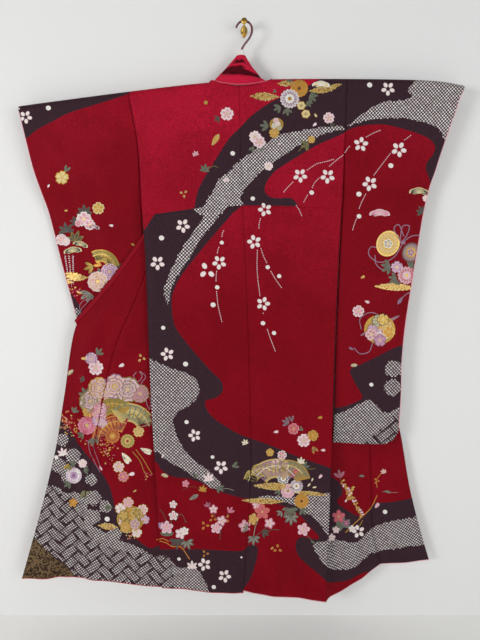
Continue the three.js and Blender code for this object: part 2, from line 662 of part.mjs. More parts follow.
function pole({ from, to, radius }) {
  const ends = [from, to].map(([x, z]) => new THREE.Vector3(x, POLE_Y, z));
  const length = ends[0].distanceTo(ends[1]);
  const body = new THREE.CapsuleGeometry(radius, length - 2 * radius, 3, 14);
  const middle = ends[0].clone().lerp(ends[1], 0.5);
  const turn = new THREE.Quaternion().setFromUnitVectors(
    new THREE.Vector3(0, 1, 0),
    ends[1].clone().sub(ends[0]).normalize(),
  );
  return body.applyQuaternion(turn).translate(middle.x, middle.y, middle.z);
}

// The wall hook: a small plate and an upturned arm under the hanger's rod.
const PLATE = { width: 20, height: 34, depth: 3 };
const HOOK_ARM_RADIUS = 2.6;
const HOOK_ARM = table("y z", [
  [-1.5, -6],
  [-14, -6],
  [-30, 0],
  [-41, 4.1],
  [-48, 5.6],
  [-54, 9.5],
  [-57, 15],
]);
const BALL_RADIUS = 5;

function wallHook() {
  const outline = new THREE.Shape();
  outline.absellipse(0, 0, PLATE.width / 2, PLATE.height / 2, 0, 2 * Math.PI);
  const plate = new THREE.ExtrudeGeometry(outline, { depth: PLATE.depth, bevelEnabled: false, curveSegments: 20 });
  plate.rotateX(Math.PI / 2);
  const arm = tubeAlong(
    HOOK_ARM.map(({ y, z }) => new THREE.Vector3(0, y, z)),
    HOOK_ARM_RADIUS,
    5,
    12,
  );
  const tip = HOOK_ARM.at(-1);
  const ball = new THREE.SphereGeometry(BALL_RADIUS, 12, 8).translate(0, tip.y, tip.z);
  const [first, ...others] = [plate, arm, ball].map((geometry) => toManifold(welded(geometry)));
  return fromManifold(others.reduce((whole, piece) => whole.add(piece), first));
}

// One closed surface with shared corners.
function welded(geometry) {
  const bare = geometry.clone();
  bare.deleteAttribute("normal");
  bare.deleteAttribute("uv");
  return mergeVertices(bare, 1e-3);
}

const material = (colour, roughness, metalness = 0) =>
  new THREE.MeshStandardMaterial({ color: colour, roughness, metalness });
const clothRed = material("#8f0f1d", 0.8);
const collarRed = material("#a3142a", 0.8);
const rodBrown = material("#4a1720", 0.35);
const white = material("#e9e7e2", 0.5);
const brass = material("#b08d3c", 0.3, 1);

const garment = new THREE.Group();
function add(name, geometry, finish, parent = garment) {
  const mesh = new THREE.Mesh(geometry, finish);
  mesh.name = name;
  parent.add(mesh);
  return mesh;
}

for (const side of ["left", "right"]) {
  add(`back_${side}`, backPanel(side), clothRed);
  add(`sleeve_${side}`, sleeveBag(side), clothRed);
}
for (const side of ["left", "right"]) {
  add(`front_${side}`, frontPanel(side), clothRed);
  add(`overlap_${side}`, overlapPanel(side), clothRed);
  add(`collar_${side}`, collarBand(side), collarRed);
}
add("collar_neck", neckCollar(), collarRed);

const hanger = new THREE.Group();
garment.add(hanger);
add("hanger_hook", hangerHook(), rodBrown, hanger);
add("hanger_block", hangerBlock(), white, hanger);
add("hanger_post", post(), white, hanger).position.set(STEM_X, POLE_Y, POST.foot);
add("hanger_pole_left", pole(ARM.left), white, hanger);
add("hanger_pole_right", pole(ARM.right), white, hanger);
add("wall_hook", wallHook(), brass);

export default garment;
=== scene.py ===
import json
import math

import bpy
import numpy as np
from mathutils import Vector
from mathutils.bvhtree import BVHTree
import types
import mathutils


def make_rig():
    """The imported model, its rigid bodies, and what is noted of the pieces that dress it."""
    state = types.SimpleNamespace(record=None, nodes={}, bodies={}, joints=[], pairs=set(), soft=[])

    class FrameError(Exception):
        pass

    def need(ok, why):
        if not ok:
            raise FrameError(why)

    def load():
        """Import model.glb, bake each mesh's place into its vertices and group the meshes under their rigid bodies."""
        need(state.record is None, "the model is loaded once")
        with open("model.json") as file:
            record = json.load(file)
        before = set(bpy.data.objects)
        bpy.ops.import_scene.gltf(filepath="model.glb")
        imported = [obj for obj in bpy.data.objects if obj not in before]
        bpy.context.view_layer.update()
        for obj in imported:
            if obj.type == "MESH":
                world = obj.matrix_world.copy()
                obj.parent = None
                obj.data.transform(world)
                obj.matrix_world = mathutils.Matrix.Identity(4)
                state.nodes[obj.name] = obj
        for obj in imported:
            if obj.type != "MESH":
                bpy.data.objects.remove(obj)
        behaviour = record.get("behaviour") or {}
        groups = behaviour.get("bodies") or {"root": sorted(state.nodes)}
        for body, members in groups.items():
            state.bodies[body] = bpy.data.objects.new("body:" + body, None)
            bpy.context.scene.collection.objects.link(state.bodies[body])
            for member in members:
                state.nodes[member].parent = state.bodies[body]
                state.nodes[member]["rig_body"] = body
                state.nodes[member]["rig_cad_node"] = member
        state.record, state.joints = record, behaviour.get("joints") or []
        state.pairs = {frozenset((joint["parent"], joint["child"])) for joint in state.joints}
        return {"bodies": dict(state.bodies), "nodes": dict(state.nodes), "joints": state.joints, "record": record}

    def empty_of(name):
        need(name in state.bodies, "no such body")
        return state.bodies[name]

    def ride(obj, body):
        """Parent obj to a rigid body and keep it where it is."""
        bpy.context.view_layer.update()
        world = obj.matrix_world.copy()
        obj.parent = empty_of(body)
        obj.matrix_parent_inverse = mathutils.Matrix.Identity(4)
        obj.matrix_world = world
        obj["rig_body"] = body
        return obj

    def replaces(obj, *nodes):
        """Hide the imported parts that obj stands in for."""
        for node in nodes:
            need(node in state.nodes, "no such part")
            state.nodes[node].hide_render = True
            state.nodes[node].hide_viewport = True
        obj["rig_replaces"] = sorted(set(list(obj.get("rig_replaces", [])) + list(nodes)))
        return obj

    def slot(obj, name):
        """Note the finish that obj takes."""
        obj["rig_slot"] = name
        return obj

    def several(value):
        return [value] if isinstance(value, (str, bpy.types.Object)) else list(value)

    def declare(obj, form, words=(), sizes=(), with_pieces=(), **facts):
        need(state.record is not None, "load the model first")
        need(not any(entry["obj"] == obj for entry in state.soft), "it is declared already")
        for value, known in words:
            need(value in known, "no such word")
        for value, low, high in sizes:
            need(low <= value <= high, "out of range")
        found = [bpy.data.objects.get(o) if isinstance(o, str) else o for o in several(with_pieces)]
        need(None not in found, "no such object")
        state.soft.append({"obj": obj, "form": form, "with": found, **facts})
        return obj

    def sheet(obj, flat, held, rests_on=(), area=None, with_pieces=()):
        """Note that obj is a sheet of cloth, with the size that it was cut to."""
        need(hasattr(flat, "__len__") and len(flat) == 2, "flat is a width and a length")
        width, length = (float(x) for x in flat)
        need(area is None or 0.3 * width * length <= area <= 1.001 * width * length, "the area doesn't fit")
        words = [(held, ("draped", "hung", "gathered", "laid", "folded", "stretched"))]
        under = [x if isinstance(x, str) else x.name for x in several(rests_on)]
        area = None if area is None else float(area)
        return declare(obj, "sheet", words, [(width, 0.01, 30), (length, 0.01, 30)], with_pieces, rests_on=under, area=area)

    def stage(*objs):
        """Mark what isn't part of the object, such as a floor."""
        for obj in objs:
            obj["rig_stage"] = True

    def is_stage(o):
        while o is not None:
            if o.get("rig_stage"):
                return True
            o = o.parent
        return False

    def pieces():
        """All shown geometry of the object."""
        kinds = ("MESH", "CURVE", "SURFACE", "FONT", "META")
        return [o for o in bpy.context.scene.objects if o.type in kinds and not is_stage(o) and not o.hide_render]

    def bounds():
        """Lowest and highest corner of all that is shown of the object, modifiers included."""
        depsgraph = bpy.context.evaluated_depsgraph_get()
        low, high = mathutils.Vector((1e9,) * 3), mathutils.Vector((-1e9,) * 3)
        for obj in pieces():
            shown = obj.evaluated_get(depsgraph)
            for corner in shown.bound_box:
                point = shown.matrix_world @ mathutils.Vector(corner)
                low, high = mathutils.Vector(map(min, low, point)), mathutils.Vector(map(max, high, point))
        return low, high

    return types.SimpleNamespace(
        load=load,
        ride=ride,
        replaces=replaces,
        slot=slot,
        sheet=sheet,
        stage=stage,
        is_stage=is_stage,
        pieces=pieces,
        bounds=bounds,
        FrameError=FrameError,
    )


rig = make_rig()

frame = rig.load()
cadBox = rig.bounds()
print("frame loaded:", len(frame["nodes"]), "nodes")

# camera
view = {"place": (-0.0117, -1.531, -0.6065), "tilt": 9.3, "focal": 481.0, "wide": 480, "high": 640}

eye = np.array(view["place"]) * 1000
tilt = math.radians(view["tilt"])
lookAlong = np.array([0, math.cos(tilt), -math.sin(tilt)])
lookUp = np.array([0, math.sin(tilt), math.cos(tilt)])


def placeCamera():
    lens = bpy.data.cameras.new("camera")
    lens.sensor_width = 36
    lens.lens = view["focal"] / view["high"] * 36
    camera = bpy.data.objects.new("camera", lens)
    camera.location = view["place"]
    camera.rotation_euler = (math.radians(90 - view["tilt"]), 0, 0)
    bpy.context.scene.collection.objects.link(camera)
    bpy.context.scene.camera = camera


# where points in millimetres fall on the 480 by 640 picture
def onPicture(points):
    away = points - eye
    depth = away @ lookAlong
    across = view["wide"] / 2 + view["focal"] * away[..., 0] / depth
    down = view["high"] / 2 - view["focal"] * (away @ lookUp) / depth
    return np.stack([across, down], axis=-1)


# the direction from the camera through a place on the picture
def throughPicture(across, down):
    aside = (across - view["wide"] / 2) / view["focal"]
    above = (view["high"] / 2 - down) / view["focal"]
    return Vector(lookAlong + lookUp * above + np.array([aside, 0, 0])).normalized()


placeCamera()
print("camera placed")


# curves and tables
def rowsOf(text):
    return [[float(word) for word in row.split()] for row in text.split(";")]


def table(columns, text):
    names = columns.split()
    rows = [row + [np.nan] * (len(names) - len(row)) for row in rowsOf(text)]
    return {name: np.array(column) for name, column in zip(names, zip(*rows))}


def easeBetween(value, low, high):
    span = np.where(high > low, high - low, 1e-9)
    t = np.clip((value - low) / span, 0, 1)
    return t * t * (3 - 2 * t)


def blendTo(a, b, t):
    return a + (b - a) * t


# one column of a table at given values of its key column, on a smooth line through the rows
def readAt(rows, key, value, column):
    keys, values = rows[key], rows[column]
    last = len(keys) - 1
    way = 1 if keys[-1] > keys[0] else -1
    i = np.searchsorted(keys[1:-1] * way, np.asarray(value) * way, side="left")
    before, after = np.maximum(i - 1, 0), np.minimum(i + 2, last)
    step = keys[i + 1] - keys[i]
    t = np.clip((value - keys[i]) / step, 0, 1)
    startSlope = (values[i + 1] - values[before]) / (keys[i + 1] - keys[before]) * step
    endSlope = (values[after] - values[i]) / (keys[after] - keys[i]) * step
    t2, t3 = t * t, t * t * t
    return (
        (2 * t3 - 3 * t2 + 1) * values[i]
        + (t3 - 2 * t2 + t) * startSlope
        + (3 * t2 - 2 * t3) * values[i + 1]
        + (t3 - t2) * endSlope
    )


# a smooth line through points, each of them an array that ends in x, y and z
def alongLine(points, t):
    points = np.asarray(points, float)
    t = np.asarray(t, float)
    count = len(points)
    if points.ndim == 2:
        points = points.reshape((count,) + (1,) * t.ndim + (3,))
    points = np.broadcast_to(points, (count,) + t.shape + (3,))
    padded = np.concatenate([2 * points[:1] - points[1:2], points, 2 * points[-1:] - points[-2:-1]])
    place = np.clip(t, 0, 1) * (count - 1)
    i = np.minimum(np.floor(place).astype(int), count - 2)
    w = (place - i)[..., None]
    p0, p1, p2, p3 = (np.take_along_axis(padded, (i + k)[None, ..., None], axis=0)[0] for k in range(4))
    gap = [np.sum((b - a) ** 2, axis=-1, keepdims=True) ** 0.25 for a, b in ((p0, p1), (p1, p2), (p2, p3))]
    gap[1] = np.where(gap[1] < 1e-4, 1, gap[1])
    gap[0] = np.where(gap[0] < 1e-4, gap[1], gap[0])
    gap[2] = np.where(gap[2] < 1e-4, gap[1], gap[2])
    start = ((p1 - p0) / gap[0] - (p2 - p0) / (gap[0] + gap[1]) + (p2 - p1) / gap[1]) * gap[1]
    end = ((p2 - p1) / gap[1] - (p3 - p1) / (gap[1] + gap[2]) + (p3 - p2) / gap[2]) * gap[1]
    return p1 + start * w + (-3 * p1 + 3 * p2 - 2 * start - end) * w**2 + (2 * p1 - 2 * p2 + start + end) * w**3


bothSides = ("left", "right")
foldColumns = "at spread top bottom fade lean height"


# soft folds at a place u across and v along a piece, troughs negative
def foldHeight(folds, u, v):
    height = 0
    for at, spread, top, bottom, fade, lean, rise in zip(*(folds[name] for name in foldColumns.split())):
        along = easeBetween(v, top, top + fade) * (1 - easeBetween(v, bottom - fade, bottom))
        height = height + rise * along * np.exp(-(((u - at - lean * (v - top)) / spread) ** 2))
    return height


# slanting creases from one place to another, each a soft trough or ridge that dies out at its ends
def creaseHeight(creases, u, v):
    height = 0
    for u0, v0, u1, v1, spread, rise in creases:
        run = np.array([u1 - u0, (v1 - v0) * 4])
        length = np.hypot(*run)
        away = np.stack([u - u0, (v - v0) * 4], axis=-1)
        along = away @ (run / length) / length
        off = away @ (np.array([-run[1], run[0]]) / length)
        bend = off - 0.06 * np.sin(along * math.pi) * length
        height = height + rise * easeBetween(along, -0.1, 0.3) * (1 - easeBetween(along, 0.6, 1.1)) * np.exp(
            -((bend / spread) ** 2)
        )
    return height


def placesAlong(length, spacing, *closer):
    places = np.linspace(0, 1, max(2, round(length / spacing)) + 1)
    for low, high, near in closer:
        places = places[(places < low) | (places > high)]
        places = np.append(places, np.linspace(low, high, max(2, round((high - low) * length / near)) + 1))
    places = np.unique(np.round(places, 6))
    return places[np.append(True, np.diff(places) > 0.1 / length)]


# both faces of a wall of cloth on a surface: the first lies on the side of across x along
def clothFaces(pointAt, across, along, thicknessAt):
    u, v = np.meshgrid(across, along)
    small = 1e-3
    acrossWay = pointAt(np.minimum(u + small, 1), v) - pointAt(np.maximum(u - small, 0), v)
    alongWay = pointAt(u, np.minimum(v + small, 1)) - pointAt(u, np.maximum(v - small, 0))
    normal = np.cross(acrossWay, alongWay)
    normal /= np.linalg.norm(normal, axis=-1, keepdims=True)
    middle = pointAt(u, v)
    half = (thicknessAt(v) * np.ones_like(u))[..., None] / 2
    return middle + normal * half, middle - normal * half


def gridFaces(rows, columns, start=0, flip=False, closed=False):
    i, j = np.meshgrid(np.arange(rows - 1), np.arange(columns if closed else columns - 1), indexing="ij")
    k = (j + 1) % columns
    quads = np.stack([i * columns + j, (i + 1) * columns + j, (i + 1) * columns + k, i * columns + k], axis=-1)
    quads = quads.reshape(-1, 4) + start
    return quads[:, ::-1] if flip else quads


# a mesh object from points in millimetres, with the material slot of each face
def makeMesh(name, points, faces, materials, slots=None, smooth=True):
    mesh = bpy.data.meshes.new(name)
    faces = [np.asarray(f) for f in faces]
    mesh.from_pydata((np.asarray(points) / 1000).tolist(), [], [f.tolist() for f in faces])
    for material in materials:
        mesh.materials.append(material)
    if slots is not None:
        mesh.polygons.foreach_set("material_index", np.asarray(slots, np.int32))
    mesh.polygons.foreach_set("use_smooth", np.full(len(faces), smooth))
    mesh.update()
    made = bpy.data.objects.new(name, mesh)
    bpy.context.scene.collection.objects.link(made)
    return made


def signedVolume(points, faces):
    total = 0
    for k in (1, 2):
        a, b, c = (points[faces[:, n]] for n in (0, k, k + 1))
        total += np.sum(a * np.cross(b, c))
    return total


# a closed shell of cloth: its outer face takes the first material and the lining the second
def makeCloth(name, outside, inside, materials, closed=False):
    rows, columns = outside.shape[:2]
    half = rows * columns
    points = np.concatenate([outside.reshape(-1, 3), inside.reshape(-1, 3)])
    faces = [gridFaces(rows, columns, closed=closed), gridFaces(rows, columns, half, True, closed)]
    at = np.arange(half).reshape(rows, columns)
    rims = [at[0], at[-1], at[:, -1], at[::-1, 0]]
    if closed:
        rims = [np.append(rim, rim[0]) for rim in rims[:2]]
    rims[1] = rims[1][::-1]
    for rim in rims:
        faces.append(np.stack([rim[:-1], rim[1:], rim[1:] + half, rim[:-1] + half], axis=-1))
    slots = np.concatenate([np.full(len(f), 1 if k == 1 else 0) for k, f in enumerate(faces)])
    faces = np.concatenate(faces)
    if signedVolume(points, faces) < 0:
        faces = faces[:, ::-1]
    return makeMesh(name, points, faces, materials, slots)


# a round rod, cord or thread along points, with its thickness at each of them
def makeTube(points, radii, sides=12):
    points = np.asarray(points, float)
    radii = np.broadcast_to(np.asarray(radii, float), len(points))
    way = np.gradient(points, axis=0)
    way /= np.linalg.norm(way, axis=1, keepdims=True)
    aside = np.cross(way, [0.13, 0.21, 0.97] if abs(way[0][2]) < 0.9 else [0.1, 0.97, 0.2])
    aside /= np.linalg.norm(aside, axis=1, keepdims=True)
    other = np.cross(way, aside)
    angle = np.linspace(0, 2 * math.pi, sides, endpoint=False)[None, :, None]
    ring = points[:, None] + radii[:, None, None] * (
        np.cos(angle) * aside[:, None] + np.sin(angle) * other[:, None]
    )
    body = ring.reshape(-1, 3)
    faces = gridFaces(len(points), sides, closed=True).tolist()
    faces += [list(range(sides)), list(range(len(body) - sides, len(body)))[::-1]]
    return body, faces


def makeLathe(profile, sides=40):
    angle = np.linspace(0, 2 * math.pi, sides, endpoint=False)
    reach, rise = np.asarray(profile, float).T[:, :, None]
    ring = np.stack([reach * np.cos(angle), reach * np.sin(angle), rise * np.ones(sides)], axis=-1)
    return ring.reshape(-1, 3), gridFaces(len(profile), sides, closed=True).tolist()


def joinParts(name, parts, material, smooth=True):
    points, faces, start = [], [], 0
    for body, its in parts:
        points.append(body)
        faces += [[n + start for n in face] for face in its]
        start += len(body)
    return makeMesh(name, np.concatenate(points), faces, [material], smooth=smooth)


# shader helpers
def colourOf(red, green, blue):
    shares = [c / 255 / 12.92 if c <= 10 else ((c / 255 + 0.055) / 1.055) ** 2.4 for c in (red, green, blue)]
    return (*shares, 1)


# one kind of sum on shader values, with its two values swapped where asked
def sumOf(operation, swapped=False):
    def work(self, other=None):
        values = [other, self] if swapped else [self, other]
        sockets = {n: value for n, value in enumerate(values) if value is not None}
        return self.finish.node("Math", {"operation": operation}, sockets)

    return work


# a value in a finish, so that sums on it can be written as ordinary ones
class Reading:
    def __init__(self, finish, socket):
        self.finish, self.socket = finish, socket

    __add__ = __radd__ = sumOf("ADD")
    __mul__ = __rmul__ = sumOf("MULTIPLY")
    __sub__, __rsub__ = sumOf("SUBTRACT"), sumOf("SUBTRACT", True)
    __mod__, __abs__ = sumOf("FLOORED_MODULO"), sumOf("ABSOLUTE")
    floor, fraction = sumOf("FLOOR"), sumOf("FRACT")
    least, most = sumOf("MINIMUM"), sumOf("MAXIMUM")

    # 0 below low, 1 above high, and a soft step between
    def step(self, low, high):
        return self.finish.node(
            "MapRange", {"interpolation_type": "SMOOTHSTEP"}, {"Value": self, 1: low, 2: high}
        )

    def near(self, value):
        return self.finish.node("Math", {"operation": "COMPARE"}, {0: self, 1: value, 2: 0.5})


class Finish:
    def __init__(self, name, surface):
        self.material = bpy.data.materials.new(name)
        self.material.use_nodes = True
        self.tree = self.material.node_tree
        self.inputs = self.tree.nodes["Principled BSDF"].inputs
        self.take(surface)

    def take(self, surface):
        for key, value in surface.items():
            self.join(self.inputs[key], value)
        return self.material

    def join(self, socket, value):
        if isinstance(value, Reading):
            self.tree.links.new(value.socket, socket)
        else:
            socket.default_value = value

    def node(self, kind, settings=None, sockets=None, out=0):
        made = self.tree.nodes.new("ShaderNode" + kind)
        for key, value in (settings or {}).items():
            setattr(made, key, value)
        for key, value in (sockets or {}).items():
            self.join(made.inputs[key], value)
        return Reading(self, made.outputs[out])

    def place(self):
        return self.node("TexCoord", out="Object")

    def kept(self, name, out="Vector"):
        return self.node("Attribute", {"attribute_name": name}, out=out)

    def parts(self, vector):
        split = self.node("SeparateXYZ", sockets={0: vector})
        return [Reading(self, socket) for socket in split.socket.node.outputs]

    def noise(self, scale, detail, rough=0.5):
        sockets = {"Vector": self.place(), "Scale": scale, "Detail": detail, "Roughness": rough}
        return self.node("TexNoise", sockets=sockets)

    def blend(self, amount, first, second):
        return self.node("Mix", {"data_type": "RGBA"}, {0: amount, 6: first, 7: second}, out=2)

    def bump(self, height, strength, distance, **under):
        return self.node("Bump", sockets={"Height": height, "Strength": strength, "Distance": distance} | under)


# finishes
dye = {
    "red": colourOf(134, 6, 24),
    "redDeep": colourOf(96, 2, 12),
    # painted light: a lighter red for the top of the garment, where more light falls on the silk
    "redBright": colourOf(190, 24, 54),
    "aubergine": colourOf(58, 38, 46),
    "aubergineDeep": colourOf(40, 22, 30),
    "knotWhite": colourOf(246, 240, 238),
    "knotShade": colourOf(206, 194, 194),
    "brocade": colourOf(48, 35, 27),
    "brocadeGold": colourOf(116, 94, 66),
    "liningPale": (colourOf(226, 196, 194), colourOf(206, 170, 170)),
    "liningRed": (colourOf(150, 14, 34), colourOf(122, 8, 24)),
    # painted light: the collar red is lighter on the neck, under the light from above, and deeper on the bands along
    # the fronts
    "collar": (colourOf(204, 27, 62), colourOf(140, 8, 28)),
    # painted shade: a near-black red for the deep hollows between the neck collar's swags
    "collarHollow": colourOf(48, 1, 8),
    "pitch": {"upper": 6.8, "lower": 7.7},  # from one tied dot to the next
    "pitchChange": 212,
    "stretch": 1.03,
    "brickSize": 30.0,
    "brickSlant": 42,
    "knotOrigin": 500,
    "latticeOrigin": 400,
    "down": (150, 1500),  # painted light: where the red's painted lighter top starts to fade into the plain red, and over what height
    "redLining": (1180, 1220),
    "far": 9.0,
}
crepe = {"Roughness": 0.5, "Sheen Weight": 0.03, "Sheen Roughness": 0.4, "Sheen Tint": colourOf(255, 130, 140)}


# crepe silk: dyed red with painted light that makes it lighter towards the top, aubergine and tied dots, all read from
# values kept on the cloth
def clothSilk():
    f = Finish("dyed_silk", crepe | {"Specular IOR Level": 0.06})
    aubergine, tied, bricks = f.parts(f.kept("dye"))
    across, along, _ = f.parts(f.kept("knots"))
    down, _, corner = f.parts(f.kept("lie"))
    _, _, height = f.parts(f.place())
    grain = f.noise(340, 3, 0.7)
    # painted light: the red is lighter near the top and blends into the plain red further down
    red = f.blend(down * 2.2, dye["redBright"], dye["red"])
    red = f.blend(f.noise(9, 3).step(0.35, 0.7) * 0.3, red, dye["redDeep"])
    red = f.blend(grain.step(0.4, 0.62) * 0.6, red, dye["redDeep"])
    dark = f.blend(grain.step(0.4, 0.7) * 0.8, dye["aubergine"], dye["aubergineDeep"])
    base = f.blend((aubergine + (grain - 0.5) * 0.5).step(-0.28, 0.28), red, dark)
    # tied dots: small soft squares on a slanting grid, each cell on or off as a whole
    cell = f.node("CombineXYZ", sockets={0: across.floor(), 1: along.floor()})
    chance = f.node("TexWhiteNoise", {"noise_dimensions": "2D"}, {"Vector": cell}, out="Value")
    offX, offY = abs(across.fraction() - 0.5), abs(along.fraction() - 0.5)
    dot = 1 - (offX.most(offY) + (offX + offY) * 0.25).step(0.38, 0.47)
    heart = 1 - (offX + offY).step(0.04, 0.12)
    # lines of untied cloth between the bricks, laid in herringbone
    brickX, brickY, _ = f.parts(f.kept("lattice"))
    turn = (brickX.floor() - brickY.floor()) % 4
    fromLeft, fromFoot = brickX.fraction(), brickY.fraction()
    side = (fromLeft + turn.near(1)).least(1 - fromLeft + turn.near(0))
    foot = (fromFoot + turn.near(2)).least(1 - fromFoot + turn.near(3))
    laid = bricks.step(-0.3, 0.3)
    wobble = f.noise(70, 2) - 0.5
    mortar = (1 - (side.least(foot) + wobble * 0.12).step(0.06, 0.12)) * laid
    area = (tied + (chance - 0.5) * 1.5).step(-0.15, 0.15) * (1 - mortar)
    white = f.blend(chance, dye["knotWhite"], dye["knotShade"])
    # the white dots are dimmed at their hearts and in the bricks, and are darker towards the bottom, below about 0.6 m
    # down
    shown = 1 - heart * 0.5 - laid * 0.1 - (1 - height.step(-0.85, -0.6)) * 0.16
    colour = f.blend(area * dot * shown, f.blend(area * 0.8, base, dye["aubergineDeep"]), white)
    # brown and gold leaf scrolls in the turned corner
    scroll = abs((f.noise(40, 3, 0.6) * 6).fraction() - 0.5).step(0.2, 0.3) * grain.step(0.3, 0.5)
    colour = f.blend(corner.step(-0.3, 0.3), colour, f.blend(scroll, dye["brocade"], dye["brocadeGold"]))
    low = f.bump(f.noise(1500, 2, 0.7) + grain * 0.6, 0.28, 0.0006)
    relief = f.bump(area * dot, 0.5, 0.0009, Normal=low)
    return f.take({"Base Color": colour, "Normal": relief, "Roughness": 0.55 + grain * 0.14 + area * 0.1})


# plain lining silk: pale rose, and red in the lower half
def liningSilk():
    f = Finish("lining_silk", {"Sheen Weight": 0.2, "Specular IOR Level": 0.4})
    _, edge, _ = f.parts(f.kept("lie"))
    sockets = {"Vector": f.place(), "Scale": 420, "Distortion": 1.5}
    weave = f.node("TexWave", {"bands_direction": "Z"}, sockets, out="Fac")
    slub = f.noise(260, 2)
    pale = f.blend(slub.step(0.4, 0.7) * 0.4, *dye["liningPale"])
    red = f.blend(slub.step(0.4, 0.7) * 0.5, *dye["liningRed"])
    colour, relief = f.blend(edge.step(0.45, 0.55), pale, red), f.bump(weave * 0.4 + slub, 0.2, 0.0004)
    return f.take({"Base Color": colour, "Normal": relief, "Roughness": 0.44 + slub * 0.14})


def collarSilk():
    f = Finish("collar_silk", crepe | {"Specular IOR Level": 0.08})
    down, hollow, _ = f.parts(f.kept("lie"))
    grain = f.noise(620, 3, 0.65)
    # painted light: lighter collar red where down is 0, on the neck, and deeper where it is 1, along the fronts
    red = f.blend(grain.step(0.42, 0.66) * 0.5, f.blend(down, *dye["collar"]), dye["redDeep"])
    # painted shade: the red darkens towards near black in the collar's deeper hollows
    colour = f.blend(hollow * (0.72 + grain * 0.4), red, dye["collarHollow"])
    relief = f.bump(f.noise(1500, 2, 0.7) + grain * 0.6, 0.28, 0.0006)
    return f.take({"Base Color": colour, "Normal": relief, "Roughness": 0.52 + grain * 0.14})


def inkOnSilk():
    f = Finish("motif_inks", {"Sheen Weight": 0.1, "Specular IOR Level": 0.4})
    gilt, _, _ = f.parts(f.kept("gilt"))
    grain = f.noise(900, 2)
    colour = f.blend(1 - grain.step(0.3, 0.7) * 0.22, colourOf(0, 0, 0), f.kept("ink", "Color"))
    f.take({"Base Color": colour, "Metallic": gilt * 0.55, "Roughness": 0.56 - gilt * 0.2 + grain * 0.08})
    return f.take({"Normal": f.bump(grain, 0.3, 0.0004)})


# two tones in specks; the relief has the same specks unless it has its own
def speckled(name, surface, tones, speck, span, bump, relief=None):
    f = Finish(name, surface)
    wear = f.noise(*speck)
    tone = wear.step(*span)
    f.take({"Base Color": f.blend(tone, *tones), "Normal": f.bump(f.noise(*relief) if relief else wear, *bump)})
    return f, wear, tone


def edgeSilk(name, light, deep):
    tones = (colourOf(*light), colourOf(*deep))
    surface = {"Roughness": 0.5, "Sheen Weight": 0.2}
    return speckled(name, surface, tones, (700, 2), (0.35, 0.7), (0.3, 0.0003))[0].material


def lacqueredRod():
    tones = (colourOf(104, 22, 42), colourOf(58, 12, 24))
    surface = {"Coat Weight": 0.6, "Coat Roughness": 0.12}
    f, wear, _ = speckled("lacquered_rod", surface, tones, (45, 3), (0.45, 0.7), (0.08, 0.0003), (220, 2))
    return f.take({"Roughness": 0.2 + wear * 0.16})


def hangerPlastic():
    tones = (colourOf(238, 236, 232), colourOf(222, 218, 211))
    f, speck, _ = speckled(
        "hanger_plastic", {"Subsurface Weight": 0.05}, tones, (160, 3), (0.4, 0.75), (0.1, 0.0002)
    )
    return f.take({"Roughness": 0.32 + speck * 0.16})


def hookBrass():
    tones = (colourOf(198, 160, 78), colourOf(128, 98, 48))
    f, _, tarnish = speckled(
        "wall_brass", {"Metallic": 1}, tones, (60, 4), (0.5, 0.72), (0.12, 0.0002), (500, 2)
    )
    return f.take({"Roughness": 0.2 + tarnish * 0.25})


silk, lining, collarRed = clothSilk(), liningSilk(), collarSilk()
inks, rod, plastic, brass = inkOnSilk(), lacqueredRod(), hangerPlastic(), hookBrass()
hemRed = edgeSilk("hem_red_silk", (190, 30, 50), (150, 14, 32))
edgeRose = edgeSilk("edge_rose_silk", (236, 190, 196), (214, 150, 160))
collarRim = edgeSilk("collar_rim_silk", (214, 56, 88), (178, 24, 54))
print("finishes made")


# the cloth's own forms, in millimetres; "apart" is the gap at a seam, "foldedSeam" that gap shared by two sides
cloth = {
    "wall": 2.2,
    "hemRoll": 2.2,
    "hemLength": 9,
    "apart": 0.3,
    "foldedSeam": 0.15,
    "poleY": -45,
    "ridge": 16,
    "ridgeShare": 0.02,
    "spacing": 7,
    "hemSpacing": 1.6,
}
hung = []  # each sheet of cloth, with the cut that it was made from


def hemmed(roll):
    return lambda v: cloth["wall"] + cloth["hemRoll"] * easeBetween(v, 1 - roll, 1 - roll / 3)


def atHem(roll):
    return 1 - roll * 1.5, 1, cloth["hemSpacing"]


# a part that goes with the cloth and stands for no solid of its own
def addTrim(made, slot="outer_cloth"):
    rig.ride(made, "root")
    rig.slot(made, slot)
    return made


def hangCloth(made, node, flat, restsOn, slot="outer_cloth", held="hung", **more):
    addTrim(made, slot)
    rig.replaces(made, node)
    hung.append((made, {"flat": flat, "held": held, "rests_on": restsOn} | more))
    return made


# a wall of cloth on one side's own surface, with its outer face towards the room
def makePanel(side, name, pointAt, across, along, thickness, *materials, flat, **cut):
    faces = clothFaces(lambda u, v: pointAt(side, u, v), across, along, thickness)
    made = makeCloth("silk_" + name + side, *faces[:: 1 if side == "left" else -1], materials)
    return hangCloth(made, name + side, flat, ["hanger_pole_" + side], **cut)


shoulderLine = table("x z", "-656 -218; -331 -178; -94 -153; 74 -145; 303 -144; 504 -147; 575 -152; 634 -162")
neck = {"middle": -10, "half": 82, "top": -151, "dip": 15, "turn": 8}


def shoulderZ(x):
    return readAt(shoulderLine, "x", x, "z") - cloth["wall"] / 2


def neckFootZ(x):
    return neck["top"] - neck["dip"] * (1 - np.minimum(1, ((x - neck["middle"]) / neck["half"]) ** 2))


